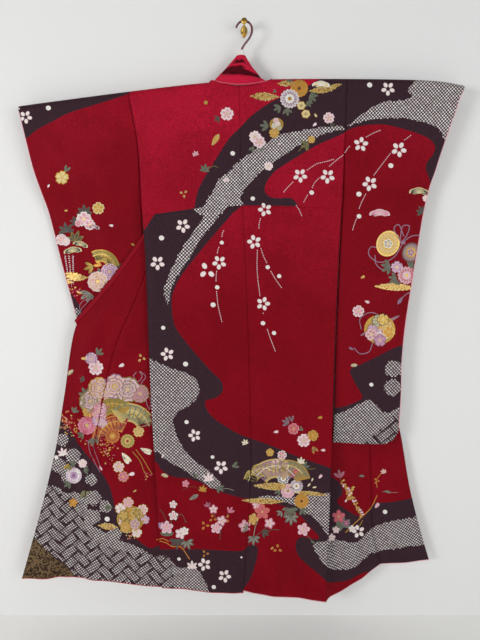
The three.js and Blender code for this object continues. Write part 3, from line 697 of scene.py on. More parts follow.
back = {
    "rows": table("z centreX centreY leftX leftY rightX rightY", """
        -200 -13 -61 -330.5 -61 295 -61;
        -260 -11 -62 -319.5 -60 295 -60;
        -340 -9 -64 -309.5 -60 294 -60;
        -500 -3 -67 -304 -62 291 -63;
        -670 5 -70 -297 -66 286 -67;
        -880 14 -74 -295 -70 283 -71;
        -1106 21 -77 -292 -75 281 -80;
        -1275 24 -79 -287 -77 281 -84;
        -1450 20 -81 -282 -80 279 -90;
        -1631 9 -83 -277 -82 277 -97;
        -1790 -1 -84 -273 -84 275 -105
    """),
    "left": {
        "hem": (-1776, -1752),
        "tuck": (-502, -530),
        "folds": table(foldColumns, """
            0 0.09 0.3 1.2 0.2 0 -7; 0.45 0.12 0.55 1.2 0.3 -0.1 5; 0.72 0.1 0.4 1.2 0.3 0.05 -5;
            0.93 0.08 0.12 0.5 0.15 0 4
        """),
        "creases": rowsOf("""
            0.25 0.02 0.5 0.12 0.05 1.2; 0.6 0.03 0.8 0.16 0.05 -1.4; 0.98 0.36 0.7 0.44 0.05 1.5;
            0.55 0.33 0.5 0.45 0.05 -1.2; 0.2 0.62 0.26 0.9 0.05 1.3
        """),
    },
    "right": {
        "hem": (-1769, -1789),
        "tuck": (-502, -507),
        "folds": table(foldColumns, """
            0 0.09 0.3 1.2 0.2 0 -7; 0.3 0.1 0.5 1.2 0.3 0.12 6; 0.62 0.12 0.45 1.2 0.3 0.1 -6
        """),
        "creases": rowsOf("""
            0.3 0.02 0.45 0.1 0.05 -1.2; 0.7 0.03 0.6 0.14 0.05 1.2; 0.9 0.3 0.75 0.4 0.05 1.3;
            0.45 0.62 0.5 0.92 0.05 -1.4; 0.85 0.7 0.8 0.98 0.05 1.4
        """),
    },
    "width": 310,
    "closeAcross": (0.2, 0.36, 4),
    "closeAlong": (0, 0.02, 3),
    "flat": (0.30, 1.64),
}
tuck = {"ledge": 3, "slope": 1.4, "spread": 260, "shareFrom": -170, "above": 3, "below": 5, "spacing": 0.9}


# u runs from the centre seam to the side, v from the shoulder's top to the hem
def backPoint(side, u, v):
    panel, rows, ridge, share = back[side], back["rows"], cloth["ridge"], cloth["ridgeShare"]
    shoulderX = blendTo(rows["centreX"][0], rows[side + "X"][0], u)
    aside = easeBetween(np.abs(shoulderX - neck["middle"]) - neck["half"], 0, neck["turn"])
    startAngle = math.pi / 2 * (1 - aside) + cloth["apart"] / ridge
    top = blendTo(neckFootZ(shoulderX) - cloth["apart"] + ridge, shoulderZ(shoulderX), aside)
    angle = blendTo(startAngle, math.pi / 2, np.clip(v / share, 0, 1))
    over = np.stack(
        [shoulderX, cloth["poleY"] - ridge * np.sin(angle), top - ridge * (1 - np.cos(angle))], axis=-1
    )
    z = blendTo(top - ridge, blendTo(*panel["hem"], u), np.clip((v - share) / (1 - share), 0, 1))
    centreX, centreY, sideX, sideY = (
        readAt(rows, "z", z, c) for c in ("centreX", "centreY", side + "X", side + "Y")
    )
    tuckZ = blendTo(*panel["tuck"], u)
    ledge = easeBetween(z, tuckZ - tuck["slope"], tuckZ) * (1 - easeBetween(z, tuckZ, tuckZ + tuck["spread"]))
    height = foldHeight(panel["folds"], u, v) + tuck["ledge"] * ledge + creaseHeight(panel["creases"], u, v)
    below = np.stack([blendTo(centreX, sideX, u), blendTo(centreY, sideY, u) - height, z], axis=-1)
    return np.where((v < share)[..., None], over, below)


def makeBack(side):
    panel, foot, start = back[side], back[side]["hem"][0], tuck["shareFrom"]
    length = back["rows"]["z"][0] - foot
    share = cloth["ridgeShare"]
    heights = (max(panel["tuck"]) + tuck["above"], min(panel["tuck"]) - tuck["below"])
    tuckTop, tuckFoot = (share + (1 - share) * (start - z) / (start - foot) for z in heights)
    roll = cloth["hemLength"] / length
    across = placesAlong(back["width"], cloth["spacing"], back["closeAcross"])
    closeTuck = (tuckTop, tuckFoot, tuck["spacing"])
    along = placesAlong(length, cloth["spacing"], back["closeAlong"], closeTuck, atHem(roll))
    return makePanel(side, "back_", backPoint, across, along, hemmed(roll), silk, lining, flat=back["flat"])


frontColumns = "ax ay az px py pz qx qy qz bx by bz ex ey ez"
front = {
    "left": {
        "rows": table(frontColumns, """
            -330.6 -44.4 -179 -250 -44.4 -171 -170 -44.4 -162 -96 -44.4 -155;
            -330.6 -33.5 -184 -250 -33.5 -176 -170 -33.5 -167 -96 -33.5 -160;
            -329.4 -29 -196 -250 -29 -188 -170 -29 -179 -97 -29 -172;
            -312.2 -31 -300 -235 -34 -292 -165 -30 -285 -118 -26 -280;
            -307 -34 -410 -128 -44 -402 -122 -33 -398 -184 -26 -392 -184 -26 -392;
            -304 -54 -500 -142 -50 -498 -136 -38 -496 -230 -31 -495 -240 -30 -488;
            -301 -61.2 -575 -160 -53 -573 -154 -42 -571 -256 -37 -575 -284 -38.5 -570;
            -297 -63.4 -670 -180 -56 -670 -174 -46 -670 -294 -45 -680 -352 -46 -668;
            -296 -65.4 -775 -194 -59 -775 -188 -49 -775 -336 -49 -785 -420 -48 -752;
            -295 -67.4 -880 -206 -61 -880 -200 -51 -880 -382 -52 -880 -487 -48.5 -825;
            -294 -69 -960 -214 -63 -960 -209 -53.5 -958 -411 -54 -955 -522 -48.5 -863;
            -292 -72.4 -1106 -228 -66 -1106 -223 -57 -1105 -449 -56 -1100 -573 -51 -1090;
            -287 -74.4 -1275 -243 -69 -1275 -240 -61 -1272 -484 -59 -1260 -609 -53 -1262;
            -282 -77.4 -1450 -262 -73 -1450 -264 -66 -1447 -521 -62 -1430 -656 -55 -1432;
            -277 -79.4 -1610 -284 -76 -1610 -330 -72 -1603 -553 -64 -1590 -706 -57 -1592;
            -273.5 -78.7 -1752 -330 -79 -1748 -430 -74 -1738 -577 -66 -1724 -753 -58 -1737
        """),
        "collar": table("rx ry rz fx fy fz", """
            -86 -20 -173 -70 -15 -176; -116 -14 -280 -106 -8 -282; -186 -15 -388 -176 -8 -396;
            -246 -20 -472 -232 -13 -498; -293 -34 -562 -266 -26 -584; -362 -40.5 -660 -335 -34.5 -682;
            -430 -42 -744 -403 -35.5 -766; -497 -42 -817 -470 -35.5 -839; -530 -42 -852 -508 -35.5 -876
        """),
        "folds": table(foldColumns, """
            0.82 0.06 0.5 1.2 0.2 0.05 5; 0.93 0.04 0.55 1.2 0.2 0 -3; 0.16 0.05 0.1 0.5 0.1 0 -3
        """),
        "creases": rowsOf("""
            0.55 0.45 0.95 0.5 0.05 1.4; 0.6 0.55 0.9 0.62 0.05 -1.5; 0.7 0.4 0.9 0.44 0.04 -1.2;
            0.65 0.7 0.8 0.92 0.05 1.6; 0.2 0.3 0.35 0.6 0.05 1.4; 0.1 0.6 0.2 0.9 0.04 -1.2
        """),
        "overlapFolds": table(foldColumns, "0.62 0.2 0.3 1.3 0.3 -0.1 7; 0.28 0.12 0.4 1.3 0.3 0 -4"),
    },
    "right": {
        "rows": table(frontColumns, """
            296 -44.4 -146 220 -44.4 -146 148 -44.4 -146 77 -44.4 -147;
            296 -33.5 -151 220 -33.5 -151 148 -33.5 -151 77 -33.5 -152;
            295.7 -29 -163 220 -29 -163 148 -29 -163 78 -29 -164;
            294.8 -31 -280 225 -34 -272 150 -30 -267 98 -26 -262;
            293.5 -34 -375 108 -44 -374 102 -33 -373 156 -25 -372 156 -25 -372;
            291.5 -54 -480 122 -50 -480 117 -38 -480 205 -24 -480 221 -22.5 -468;
            289.5 -60.4 -540 135 -54 -542 130 -40 -544 229 -23.5 -548 257 -21.5 -528;
            286 -63.4 -670 152 -56 -672 148 -41 -674 276 -24 -680 328 -21 -652;
            284.5 -66.4 -775 165 -58 -777 161 -42 -779 312 -24 -785 386 -20 -748;
            283 -68.4 -880 176 -60 -880 172 -42 -880 346 -24 -880 430 -19 -830;
            282 -71.5 -960 182 -62 -960 178 -43 -960 368 -25 -955 452 -18.5 -880;
            281 -77.4 -1106 196 -67 -1106 194 -47 -1104 396 -27 -1100 480 -21 -1085;
            281 -81.4 -1275 214 -71 -1273 212 -53 -1268 417 -31 -1262 520 -26 -1243;
            279 -87.4 -1450 244 -79 -1447 246 -64 -1440 428 -34 -1420 557 -29 -1420;
            277 -94.4 -1631 268 -86 -1627 282 -70 -1615 439 -36 -1575 596 -33 -1560;
            275.5 -99.8 -1789 286 -88 -1786 338 -66 -1775 470 -37 -1698 635 -37 -1682
        """),
        "collar": table("rx ry rz fx fy fz", """
            68 -20 -168 52 -15 -174; 97 -14 -262 86 -8 -264; 158 -14 -368 148 -8 -376; 226 -14 -452 208 -8 -474;
            262 -15 -517 240 -8.5 -540; 337 -15 -644 311 -8.5 -666; 396 -14 -740 369 -8.5 -762;
            440 -13.5 -822 413 -8.5 -844; 462 -13 -872 436 -8 -894
        """),
        "folds": table(foldColumns, "0.84 0.06 0.6 1.2 0.15 0 5; 0.16 0.05 0.1 0.5 0.1 0 -3"),
        "creases": rowsOf("0.6 0.5 0.9 0.58 0.05 1.4; 0.7 0.7 0.8 0.92 0.05 -1.5; 0.2 0.35 0.3 0.6 0.05 1.3"),
        "overlapFolds": table(foldColumns, "0.5 0.25 0.3 1.3 0.3 0 5"),
    },
}
front |= {
    "tip": 4 / 15,
    "collarTop": 2 / 15,
    "collarEnd": 10 / 15,
    "width": 360,
    "length": 1640,
    "spacing": (7, 7),
    "closeAcross": [(0.25, 0.75, 4)],
    "closeTop": 3.5,
    "pin": 0.12,
    "roll": 0.0045,
    "flat": (0.28, 1.62),
}
overlap = {"width": 120, "length": 1330, "spacing": (6, 7), "closeAcross": [], "roll": 0.006}
overlap |= {"flat": (0.15, 1.33), "area": 0.16}
collar = {"width": 50, "length": 830, "spacing": (3.5, 6), "closeAcross": [], "flat": (0.05, 0.83)}


def linePoints(rows, name):
    points = np.stack([rows[name + axis] for axis in "xyz"], axis=-1)
    return np.where(np.isnan(points), linePoints(rows, "b"), points) if name == "e" else points


def stepOff(start, towards, gap):
    way = towards - start
    return start + way / np.linalg.norm(way, axis=-1, keepdims=True) * gap


def pinned(u):
    return easeBetween(np.minimum(u, 1 - u), 0, front["pin"])


def lowered(points, height):
    return points - height[..., None] * np.array([0, 1, 0])


def frontPoint(side, u, v):
    rows = front[side]["rows"]
    seams = [alongLine(linePoints(rows, name), v) for name in "eb"]
    seam = np.where((v <= front["tip"])[..., None], *seams)
    a, p, q = (alongLine(linePoints(rows, name), v) for name in "apq")
    points = alongLine(np.stack([a, p, q, stepOff(seam, q, cloth["foldedSeam"])]), u)
    height = foldHeight(front[side]["folds"], u, v) + creaseHeight(front[side]["creases"], u, v)
    return lowered(points, height * pinned(u))


def overlapPoint(side, u, v):
    along = blendTo(front["tip"] + 0.02, 1, v)
    a, b = (alongLine(linePoints(front[side]["rows"], name), along) for name in "be")
    start, end = stepOff(a, b, cloth["foldedSeam"]), stepOff(b, a, cloth["foldedSeam"])
    height = foldHeight(front[side]["overlapFolds"], u, v) * pinned(u)
    return lowered(blendTo(start, end, u[..., None]), height)


def collarPoint(side, u, v):
    roll, free = (alongLine(linePoints(front[side]["collar"], name), v) for name in "rf")
    edge = alongLine(linePoints(front[side]["rows"], "e"), blendTo(front["collarTop"], front["collarEnd"], v))
    return alongLine(np.stack([stepOff(edge, roll, 2 * cloth["foldedSeam"]), roll, free]), u)


def makeFront(side):
    def panel(name, pointAt, piece, close, thickness, *materials, **more):
        across = placesAlong(piece["width"], piece["spacing"][0], *piece["closeAcross"])
        along = placesAlong(piece["length"], piece["spacing"][1], *close)
        return makePanel(side, name, pointAt, across, along, thickness, *materials, flat=piece["flat"], **more)

    closeFront = [(0, front["collarTop"], front["closeTop"]), atHem(front["roll"])]
    closeOverlap, overlapArea = [atHem(overlap["roll"])], {"area": overlap["area"]}
    return (
        panel("front_", frontPoint, front, closeFront, hemmed(front["roll"]), silk, lining),
        panel(
            "overlap_", overlapPoint, overlap, closeOverlap,
            hemmed(overlap["roll"]), silk, lining, **overlapArea,
        ),
        panel(
            "collar_", collarPoint, collar, [],
            lambda v: cloth["wall"], collarRed, collarRed, slot="collar_cloth",
        ),
    )


sleeve = {
    "left": {
        "rows": table("z innerX outerX midY half", """
            -215 -329 -655 -45 16; -298 -315 -641 -44 14; -399 -308 -622 -44 12.5; -470 -309 -606 -34 9;
            -538 -311 -593 -23 7.5; -681 -311 -566 -20 7.5; -835 -308 -533 -20 7.5; -1000 -292 -500 -20 7.5;
            -1150 -274 -472 -20 7.5; -1300 -258 -446 -20 7
        """),
        "shoulder": (-331.8, -656),
        "bottom": (-1296, -1302),
        "folds": table(foldColumns, "0.72 0.1 0.06 0.7 0.2 -0.15 -3; 0.45 0.12 0.2 1.2 0.3 0 3"),
        "creases": rowsOf("""
            0.85 0.08 0.6 0.25 0.05 1.3; 0.7 0.06 0.75 0.3 0.04 -1.4; 0.3 0.05 0.2 0.2 0.05 1.1;
            0.6 0.3 0.5 0.55 0.05 -1.2
        """),
    },
    "right": {
        "rows": table("z innerX outerX midY half", """
            -215 295.6 618 -45 16; -298 295.4 594 -45 14; -399 294 566 -46 12; -503 294 544 -47 10;
            -609 292 531 -48 9; -754 289.5 515 -50 8.5; -866 288.5 504 -51 8; -981 288.5 499 -52 8;
            -1089 289 502 -53 8; -1258 290 500 -54 7
        """),
        "shoulder": (296.4, 634),
        "bottom": (-1252, -1262),
        "folds": table(foldColumns, """
            0.86 0.08 0.04 0.45 0.15 -0.1 -5; 0.4 0.14 0.3 1.2 0.3 0.05 3; 0.75 0.12 0.5 1.2 0.3 0 -3
        """),
        "creases": rowsOf("""
            0.9 0.05 0.8 0.2 0.04 1.6; 0.98 0.1 0.9 0.28 0.04 -1.6; 0.2 0.1 0.25 0.35 0.05 1.1;
            0.6 0.55 0.7 0.85 0.05 1.2
        """),
    },
}
sleeveBag = {
    "wrist": 232,
    "wristEase": 60,
    "corner": 60,
    "rimHalf": 2.6,
    "length": 1090,
    "width": 330,
    "archRows": 9,
    "closeAcross": (0.9, 1, 4),
    "closeAlong": (0.97, 1, 3),
    "closeTop": (0.03, 4),
    "cornerSlope": 0.65,
    "flat": (0.33, 2.22),
}


# face is 1 on the wall side and -1 on the side that shows
def sleevePoint(side, face, u, v):
    bag, ridge, rim = sleeve[side], cloth["ridge"], sleeveBag["rimHalf"] - cloth["wall"] / 2
    rows, shoulder = bag["rows"], bag["shoulder"]
    shoulderX = blendTo(*shoulder, u)
    top = shoulderZ(shoulderX)
    width = abs(shoulder[1] - shoulder[0]) * sleeveBag["cornerSlope"]
    cornered = np.maximum(0, 1 - (1 - u) * width / sleeveBag["corner"])
    lift = sleeveBag["corner"] * (1 - np.sqrt(1 - np.minimum(1, cornered) ** 2))
    z = blendTo(top, blendTo(*bag["bottom"], u) + lift + cloth["wall"], v)
    drop = top - z
    blend = easeBetween(z, rows["z"][0], top)
    inner, outer, middleY, half = (readAt(rows, "z", z, c) for c in ("innerX", "outerX", "midY", "half"))
    x = blendTo(blendTo(inner, outer, u), shoulderX, blend)
    bent = np.sqrt(np.maximum(ridge**2 - np.maximum(ridge - drop, 0) ** 2, 0))
    wrist = sleeveBag["wrist"]
    sewnEdge = easeBetween(drop, wrist, wrist + sleeveBag["wristEase"]) * easeBetween(u, 0.8, 1)
    sewn = np.maximum(sewnEdge, easeBetween(v, 0.94, 1))
    half = np.where(drop < ridge, bent, blendTo(blendTo(half, ridge, blend), rim, sewn))
    height = foldHeight(bag["folds"], u, v) + creaseHeight(bag["creases"], u, v) * (face < 0)
    middle = blendTo(middleY, cloth["poleY"], blend) - height
    return np.stack([x, middle + face * half, z], axis=-1)


# one length of cloth from the foot of the side that shows, up over the pole and down the wall side
def makeSleeve(side):
    length = sleeveBag["length"]
    bend = (cloth["ridge"] + 1) / length
    straight = placesAlong(length, cloth["spacing"], (bend, *sleeveBag["closeTop"]), sleeveBag["closeAlong"])
    arch = bend * (1 - np.cos(np.linspace(0, math.pi / 2, sleeveBag["archRows"])))[1:]
    down = np.concatenate([[0], arch, straight[straight > bend]])
    across = placesAlong(sleeveBag["width"], cloth["spacing"], sleeveBag["closeAcross"])
    u, w = np.meshgrid(across, np.concatenate([-down[:0:-1], down]))
    middle = sleevePoint(side, np.where(w > 0, 1.0, -1.0), u, np.abs(w))
    normal = np.cross(np.gradient(middle, axis=1), np.gradient(middle, axis=0))
    normal /= np.linalg.norm(normal, axis=-1, keepdims=True)
    outwards = 1 if np.mean(normal[: len(down) // 2, :, 1]) < 0 else -1
    step = normal * outwards * cloth["wall"] / 2
    made = makeCloth("silk_sleeve_" + side, middle + step, middle - step, [silk, lining])
    return hangCloth(made, "sleeve_" + side, sleeveBag["flat"], ["hanger_pole_" + side])


collarTop = {
    "rings": table("rise middleX halfX halfY", """
        0 -10 79 20; 0.2 -13 66 20.5; 0.4 -14 53 19; 0.6 -13 39 16.5; 0.8 -11 26 13; 1 -9 13 10
    """),
    "top": -82,
    "wall": 2.6,
    # hollows between the swags: rise, angle from the front, half their width in rise and angle, slope, depth
    "hollows": rowsOf("""
        0.78 -0.1 0.075 0.8 0.02 4; 0.49 -0.5 0.13 0.85 0.03 8.5; 0.37 0.7 0.085 0.85 -0.16 7.5;
        0.9 0.2 0.04 0.8 0.05 1.5; 0.5 2.9 0.1 0.9 0.0 5; 0.2 -2.5 0.07 0.8 0.05 4
    """),
    "ridges": rowsOf("""
        0.62 0.55 0.075 0.9 -0.16 4.5; 0.66 -0.6 0.035 0.6 0.05 3; 0.93 0.0 0.06 1.2 0.05 1;
        0.24 -0.5 0.07 0.8 0.04 4.5; 0.02 0.0 0.03 1.4 0.0 2.5
    """),
    "roomInside": 11,
    "places": (180, 90),
    "shade": (1.2, 2.6),  # the depth where a hollow's shade starts, and the further depth where it is full
    "rim": (84, 24, 2.0, 1.5),  # its reach across and out, its radius, its place above the foot
    "rimTurn": 100,
    "rimPlaces": 60,
    "flat": (0.36, 0.055),
}


def swagDepth(rise, turn, rows):
    depth = 0
    for at, middle, spread, half, slope, amount in rows:
        off = (turn - middle + math.pi) % (2 * math.pi) - math.pi
        across = (rise - at - slope * off - 0.012 * np.sin(9 * turn + 40 * at)) / spread
        depth = depth + (
            amount * np.exp(-np.abs(across) ** (2.2 + 1.8 * (across > 0))) * np.exp(-((off / half) ** 4))
        )
    return depth


def makeNeckCollar():
    around, up = collarTop["places"]
    turn, rise = np.meshgrid(np.linspace(-math.pi, math.pi, around, endpoint=False), np.linspace(0, 1, up))
    middleX, halfX, halfY = (readAt(collarTop["rings"], "rise", rise, c) for c in ("middleX", "halfX", "halfY"))
    hollow, ridge = (swagDepth(rise, turn, collarTop[name]) for name in ("hollows", "ridges"))
    pressed = np.minimum(hollow, halfY - collarTop["roomInside"]) - ridge

    def wallAt(setIn):
        x = middleX + (halfX - setIn - 0.5 * pressed) * np.sin(turn)
        y = cloth["poleY"] - (halfY - pressed - setIn) * np.cos(turn)
        return np.stack([x, y, blendTo(neckFootZ(x) + cloth["apart"], collarTop["top"], rise)], axis=-1)

    made = makeCloth(
        "silk_collar_neck", wallAt(0), wallAt(collarTop["wall"]), [collarRed, collarRed], closed=True
    )
    # painted shade: how deep each point lies in a hollow, kept for the collar's finish to darken it
    start, further = collarTop["shade"]
    keepVectors(made, "lie", 0, np.tile(np.clip((hollow - start) / further, 0, 1).ravel(), 2), 0)
    angle = np.radians(np.linspace(-collarTop["rimTurn"], collarTop["rimTurn"], collarTop["rimPlaces"]))
    reachX, reachY, radius, above = collarTop["rim"]
    x = middleX[0, 0] + reachX * np.sin(angle)
    path = np.stack([x, cloth["poleY"] - reachY * np.cos(angle), neckFootZ(x) + above], axis=-1)
    rim = addTrim(joinParts("collar_rim", [makeTube(path, radius, 10)], collarRim), "collar_cloth")
    rests = ["hanger_post", "hanger_block"]
    return hangCloth(made, "collar_neck", collarTop["flat"], rests, "collar_cloth", "gathered"), rim


# three numbers for each point of a mesh, for its finish to read
def keepVectors(made, name, *columns):
    count = len(made.data.vertices)
    values = np.stack([np.broadcast_to(column, count) for column in columns], axis=-1)
    layer = made.data.attributes.new(name, "FLOAT_VECTOR", "POINT")
    layer.data.foreach_set("vector", np.ravel(values).astype(np.float32))


backs, sleeves, fronts = (
    {side: make(side) for side in bothSides} for make in (makeBack, makeSleeve, makeFront)
)
neckCollar, neckRim = makeNeckCollar()
print("cloth hung")


# dyed areas
# closed smooth outlines on the picture's own scale, in the order in which they are laid: "add" and "ring" fill,
# "cut" takes away; upper and lower are the back panels above and below the tuck
areaSheet = """
upper dark
add 322 66 322 77 300 90 279 98 263 107 249 118 240 127.5 229.6 138 220.4 151.5 211 167 203.6 179 197.5 192
194.5 207 193 217 280 217 362 217 362 66 cut 362 120 344 133 332 138.5 316.5 145.4 301 154.6 286 163.8 275
171.4 267.5 180.6 264.5 189.8 268.3 195.8 276 198.2 290.5 198.2 297 204 300 214 330 217 362 217

upper tied
add 349 126 324 127 304 130 286 133 271 139.5 255 150 240 160 229.6 171 219 179 213 190 206 202 203 214 247
214 244 205 241 197 249 184 263 170 278 159 294 148.5 309 141 326 133.2 349 128

lower dark
add 158 211 175 205 200 202 239.6 204 232 214 219 229 207 243 196 256.6 181 276 173 293 171.8 307 174.7
325.5 184.4 340 196 354 210.7 370.7 221.4 381.4 222.3 392 214.3 398.4 206.3 400.2 205.4 406.4 212.5 417 225
426 240 434.5 258 441 276 447.5 297 456.4 315 462.7 330 468 347 476 347 530 347 585 335 585 327 581.5 317
572.5 308 565.4 299 556.4 295.7 547.5 297 540.4 302.5 536.6 311 539 319 538.5 316 533 309 526 303 518.5 296
512 283 506 262 500 240 497.5 214 489.5 202 483 189 479 171 476 160.7 469 156 462 138 458 130 400 130 300
138 240 145 229 add 120 549 140 549 160 549.3 200 549.3 240 551 248 545.5 257 546 257.5 554 256 562 250.7
578 242 592 238 612 180 614 120 612

lower tied
add 191 203 193 209 199 214 203.5 217.5 197 227 190 236 177.5 256.6 167.2 279.5 163.8 291 167.2 305 169.5
299 173 285 180 272.6 189 259 199.3 240.5 209.7 228 219 216.4 228 206 228 200 add 138 350 149 358 161 363.7
176 369.8 186 373 194.6 378 199 387 198 396 189 405.5 178.6 412 173 419 175 429.6 178.6 438.6 185.7 451
196.4 462 209 471 219.6 481.4 221.4 488.6 211 488 196.4 478 182 469 166 460 155 451 138 446 add 300 497 312
494 332 493 347 493 347 536 329 536 320.4 524.5 311.4 517 300.7 509.5 290 503.5 262 500.5 261 496 283 496
add 347 538 331 538 326 542 316 542 313.2 547.5 318.6 556.4 327.5 567 347 572 add 138 550 153.6 556 161 555
169.6 558.2 177 567 196.4 569 202 576 209 591 212 612 138 612

lower brick
add 130 545 166 552 172 565 172 612 130 612

front_left dark
add 30 412 54 415 60.7 420.7 71.4 431.4 78.6 444 89.3 458 100 470.7 109 485 112.5 496 116 510 125 526 136
538.6 150 548 170 549.3 175 620 0 620 0 500 cut 0 520 0 620 22 582 33.9 538.6

front_left tied
add 40 480 48.2 485 58 487 66 493 75 492 84 497 88 510 92 525 100 529 107 534 121.4 541 139.3 548 153.6 556
172 560 172 612 60 612 71.4 572.5 33.9 538.6 30 500 ring 62.5 440 6.4 ring 73 456.4 7.6 ring 58.5 465.4 7
ring 69.6 475 9 ring 91 479.6 6.2 ring 92.9 497.5 7.4 ring 92.9 517 7.6 ring 105.5 506.4 6.4 ring 114.5 534
7.2

front_left corner
add 33.9 538.6 52 556 71.4 572.5 84 600 40 630 0 620 0 560 18 536

front_left brick
add 20 483 50 483 62 494 76 500 84 512 86 530 105 545 130 552 160 553 172 560 172 615 20 615

sleeve_left dark
add 5 144 18 141 26.8 138 36.7 130 50.5 122.5 69 113 92 105.6 112 99.5 131.6 92.2 141 85 141 60 0 60 add 58
280 66 287.5 76.5 300.9 83 314 84 330 60 330

sleeve_left tied
add 10 98 40 94.5 42 101 30 104.5 22 106 18 112 8 112 ring 75 313.2 5.2

sleeve_right dark
add 325 60 325 140 335 137 344 132 356.3 127 370 124.7 385.4 124.7 402.3 128.6 419 134 429.8 139.3 435.2 147
432.9 154.6 427 162.3 426 170 429.8 180.6 429.8 192.9 425.5 210 440 214 500 150 500 60 add 425 334 404.5
343.8 393 348.4 378 356 362.5 363.7 350.2 369.8 353.8 381 361.4 394 360.8 399.3 347 405.5 333.8 408.2 320
411 320 460 425 460

sleeve_right tied
add 346 127.4 356 119.4 370 108.7 385 101.8 405 99.8 411.5 95.7 408.6 88.8 418 78 422 66 495 66 452 152 446
143.5 440.7 133.2 437 127.5 423.7 122.5 408 118.8 393 118.2 378 119 362.5 121.5 add 320 418 333.8 415.4 347
410 357.9 404.6 368.6 400.2 375.7 404.6 383 411.5 391.8 411.8 399 406.4 416 401 418 462 320 462 ring 393.6
368.9 8.6 ring 392.9 387.8 8.4

sleeve_right brick
add 361 447 370 438 382 427 394 415 403 407 416 402 416 462 356 462

front_right dark
add 318 478 333 478 341 485 342.5 494 337 502 350 512 362 517.5 368 511 371 506 376 503 392 502 411.5 498.4
436 494 444 575 400 576 378 573 364 572.5 347 580.5 327 582.5 316 580

front_right tied
add 318 532 329.3 536.8 338 540 347 541.5 357.9 542 365 535.5 372 528 383 523.4 397 519.8 415 517 436 514
440 543 424 544.8 408 546.6 393.6 549.3 377.5 551.5 368.6 555 361.4 562 350.7 569 336.4 569.5 327.5 567 316
560
"""
areas = {}
for block in areaSheet.strip().split("\n\n"):
    heading, _, words = block.partition("\n")
    rows = areas[tuple(heading.split())] = []
    for word in words.split():
        if word.isalpha():
            rows.append([word])
        else:
            rows[-1].append(float(word))


# a closed smooth curve through points written as one row of numbers
def outlineOf(numbers, each=8):
    points = np.reshape(numbers, (-1, 2))
    before, after, further = (np.roll(points, k, axis=0) for k in (1, -1, -2))
    t = np.linspace(0, 1, each, endpoint=False)[:, None, None]
    curve = points + 0.5 * t * (after - before)
    curve = curve + t**2 * (before - 2.5 * points + 2 * after - 0.5 * further)
    curve = curve + t**3 * (1.5 * points - 0.5 * before - 1.5 * after + 0.5 * further)
    return np.swapaxes(curve, 0, 1).reshape(-1, 2)


# how far places on the picture are inside an outline, negative outside
def insideBy(places, outline):
    best = np.full(len(places), 1e9)
    within = np.zeros(len(places), bool)
    x, y = places.T
    for (ax, ay), (bx, by) in zip(outline, np.roll(outline, -1, axis=0)):
        dx, dy = bx - ax, by - ay
        t = np.clip(((x - ax) * dx + (y - ay) * dy) / (dx * dx + dy * dy + 1e-12), 0, 1)
        best = np.minimum(best, (x - ax - t * dx) ** 2 + (y - ay - t * dy) ** 2)
        if ay != by:
            within ^= ((ay > y) != (by > y)) & (x < dx * (y - ay) / dy + ax)
    return np.sqrt(best) * np.where(within, 1, -1)


def areaField(places, rows):
    field = np.full(len(places), -dye["far"])
    for way, *numbers in rows:
        if way == "ring":
            inside = numbers[2] - np.hypot(*(places - numbers[:2]).T)
        else:
            inside = insideBy(places, outlineOf(numbers))
        field = np.minimum(field, -inside) if way == "cut" else np.maximum(field, inside)
    return np.clip(field, -dye["far"], dye["far"])


# x and z seen on axes turned by some degrees
def onSlant(points, degrees):
    c, s = math.cos(math.radians(degrees)), math.sin(math.radians(degrees))
    x, _, z = points.T
    return x * c + z * s, z * c - x * s


# where the tuck is on the picture
tuckLine = np.array(
    [(100, 222), (150, 214.5), (194, 208.6), (207, 207.2), (242, 205.4), (290, 206.2), (345, 208)]
)


def dyeCloth(made, part, slant, start):
    points = np.array([v.co for v in made.data.vertices]) * 1000
    places = onPicture(points)
    names = np.full(len(points), part)
    if part == "back":
        names = np.where(places[:, 1] < np.interp(places[:, 0], *tuckLine.T), "upper", "lower")
    values = np.full((4, len(points)), -dye["far"])
    for name in set(names):
        chosen = names == name
        for k, kind in enumerate(("dark", "tied", "brick", "corner")):
            values[k, chosen] = areaField(places[chosen], areas.get((name, kind), []))
    keepVectors(made, "dye", *values[:3])
    a, b = onSlant(points, slant)
    pitch = np.where(places[:, 1] < dye["pitchChange"], dye["pitch"]["upper"], dye["pitch"]["lower"])
    origin = dye["knotOrigin"]
    keepVectors(made, "knots", a / pitch / dye["stretch"] + origin, b * dye["stretch"] / pitch + origin, origin)
    a, b = (c / dye["brickSize"] + dye["latticeOrigin"] for c in onSlant(points, dye["brickSlant"]))
    keepVectors(made, "lattice", a, b, dye["latticeOrigin"])
    # how far down each point is, for the painted light that makes the red lighter near the top
    drop, (high, height) = -points[:, 2], dye["down"]
    down = np.clip((drop - high) / height + start, 0, 1)
    keepVectors(made, "lie", down, easeBetween(drop, *dye["redLining"]), values[3])


# the sleeves and fronts start further into the fade of the painted top light
for side, frontSlant in (("left", 34), ("right", 56)):
    dyeCloth(backs[side], "back", 45, 0)
    dyeCloth(sleeves[side], "sleeve_" + side, 44, 0.25)
    for made in fronts[side][:2]:
        dyeCloth(made, "front_" + side, frontSlant, 0.2)
    # the collar bands along the fronts take the deeper collar red of the painted light
    keepVectors(fronts[side][2], "lie", 1, 0, 0)
print("cloth dyed")

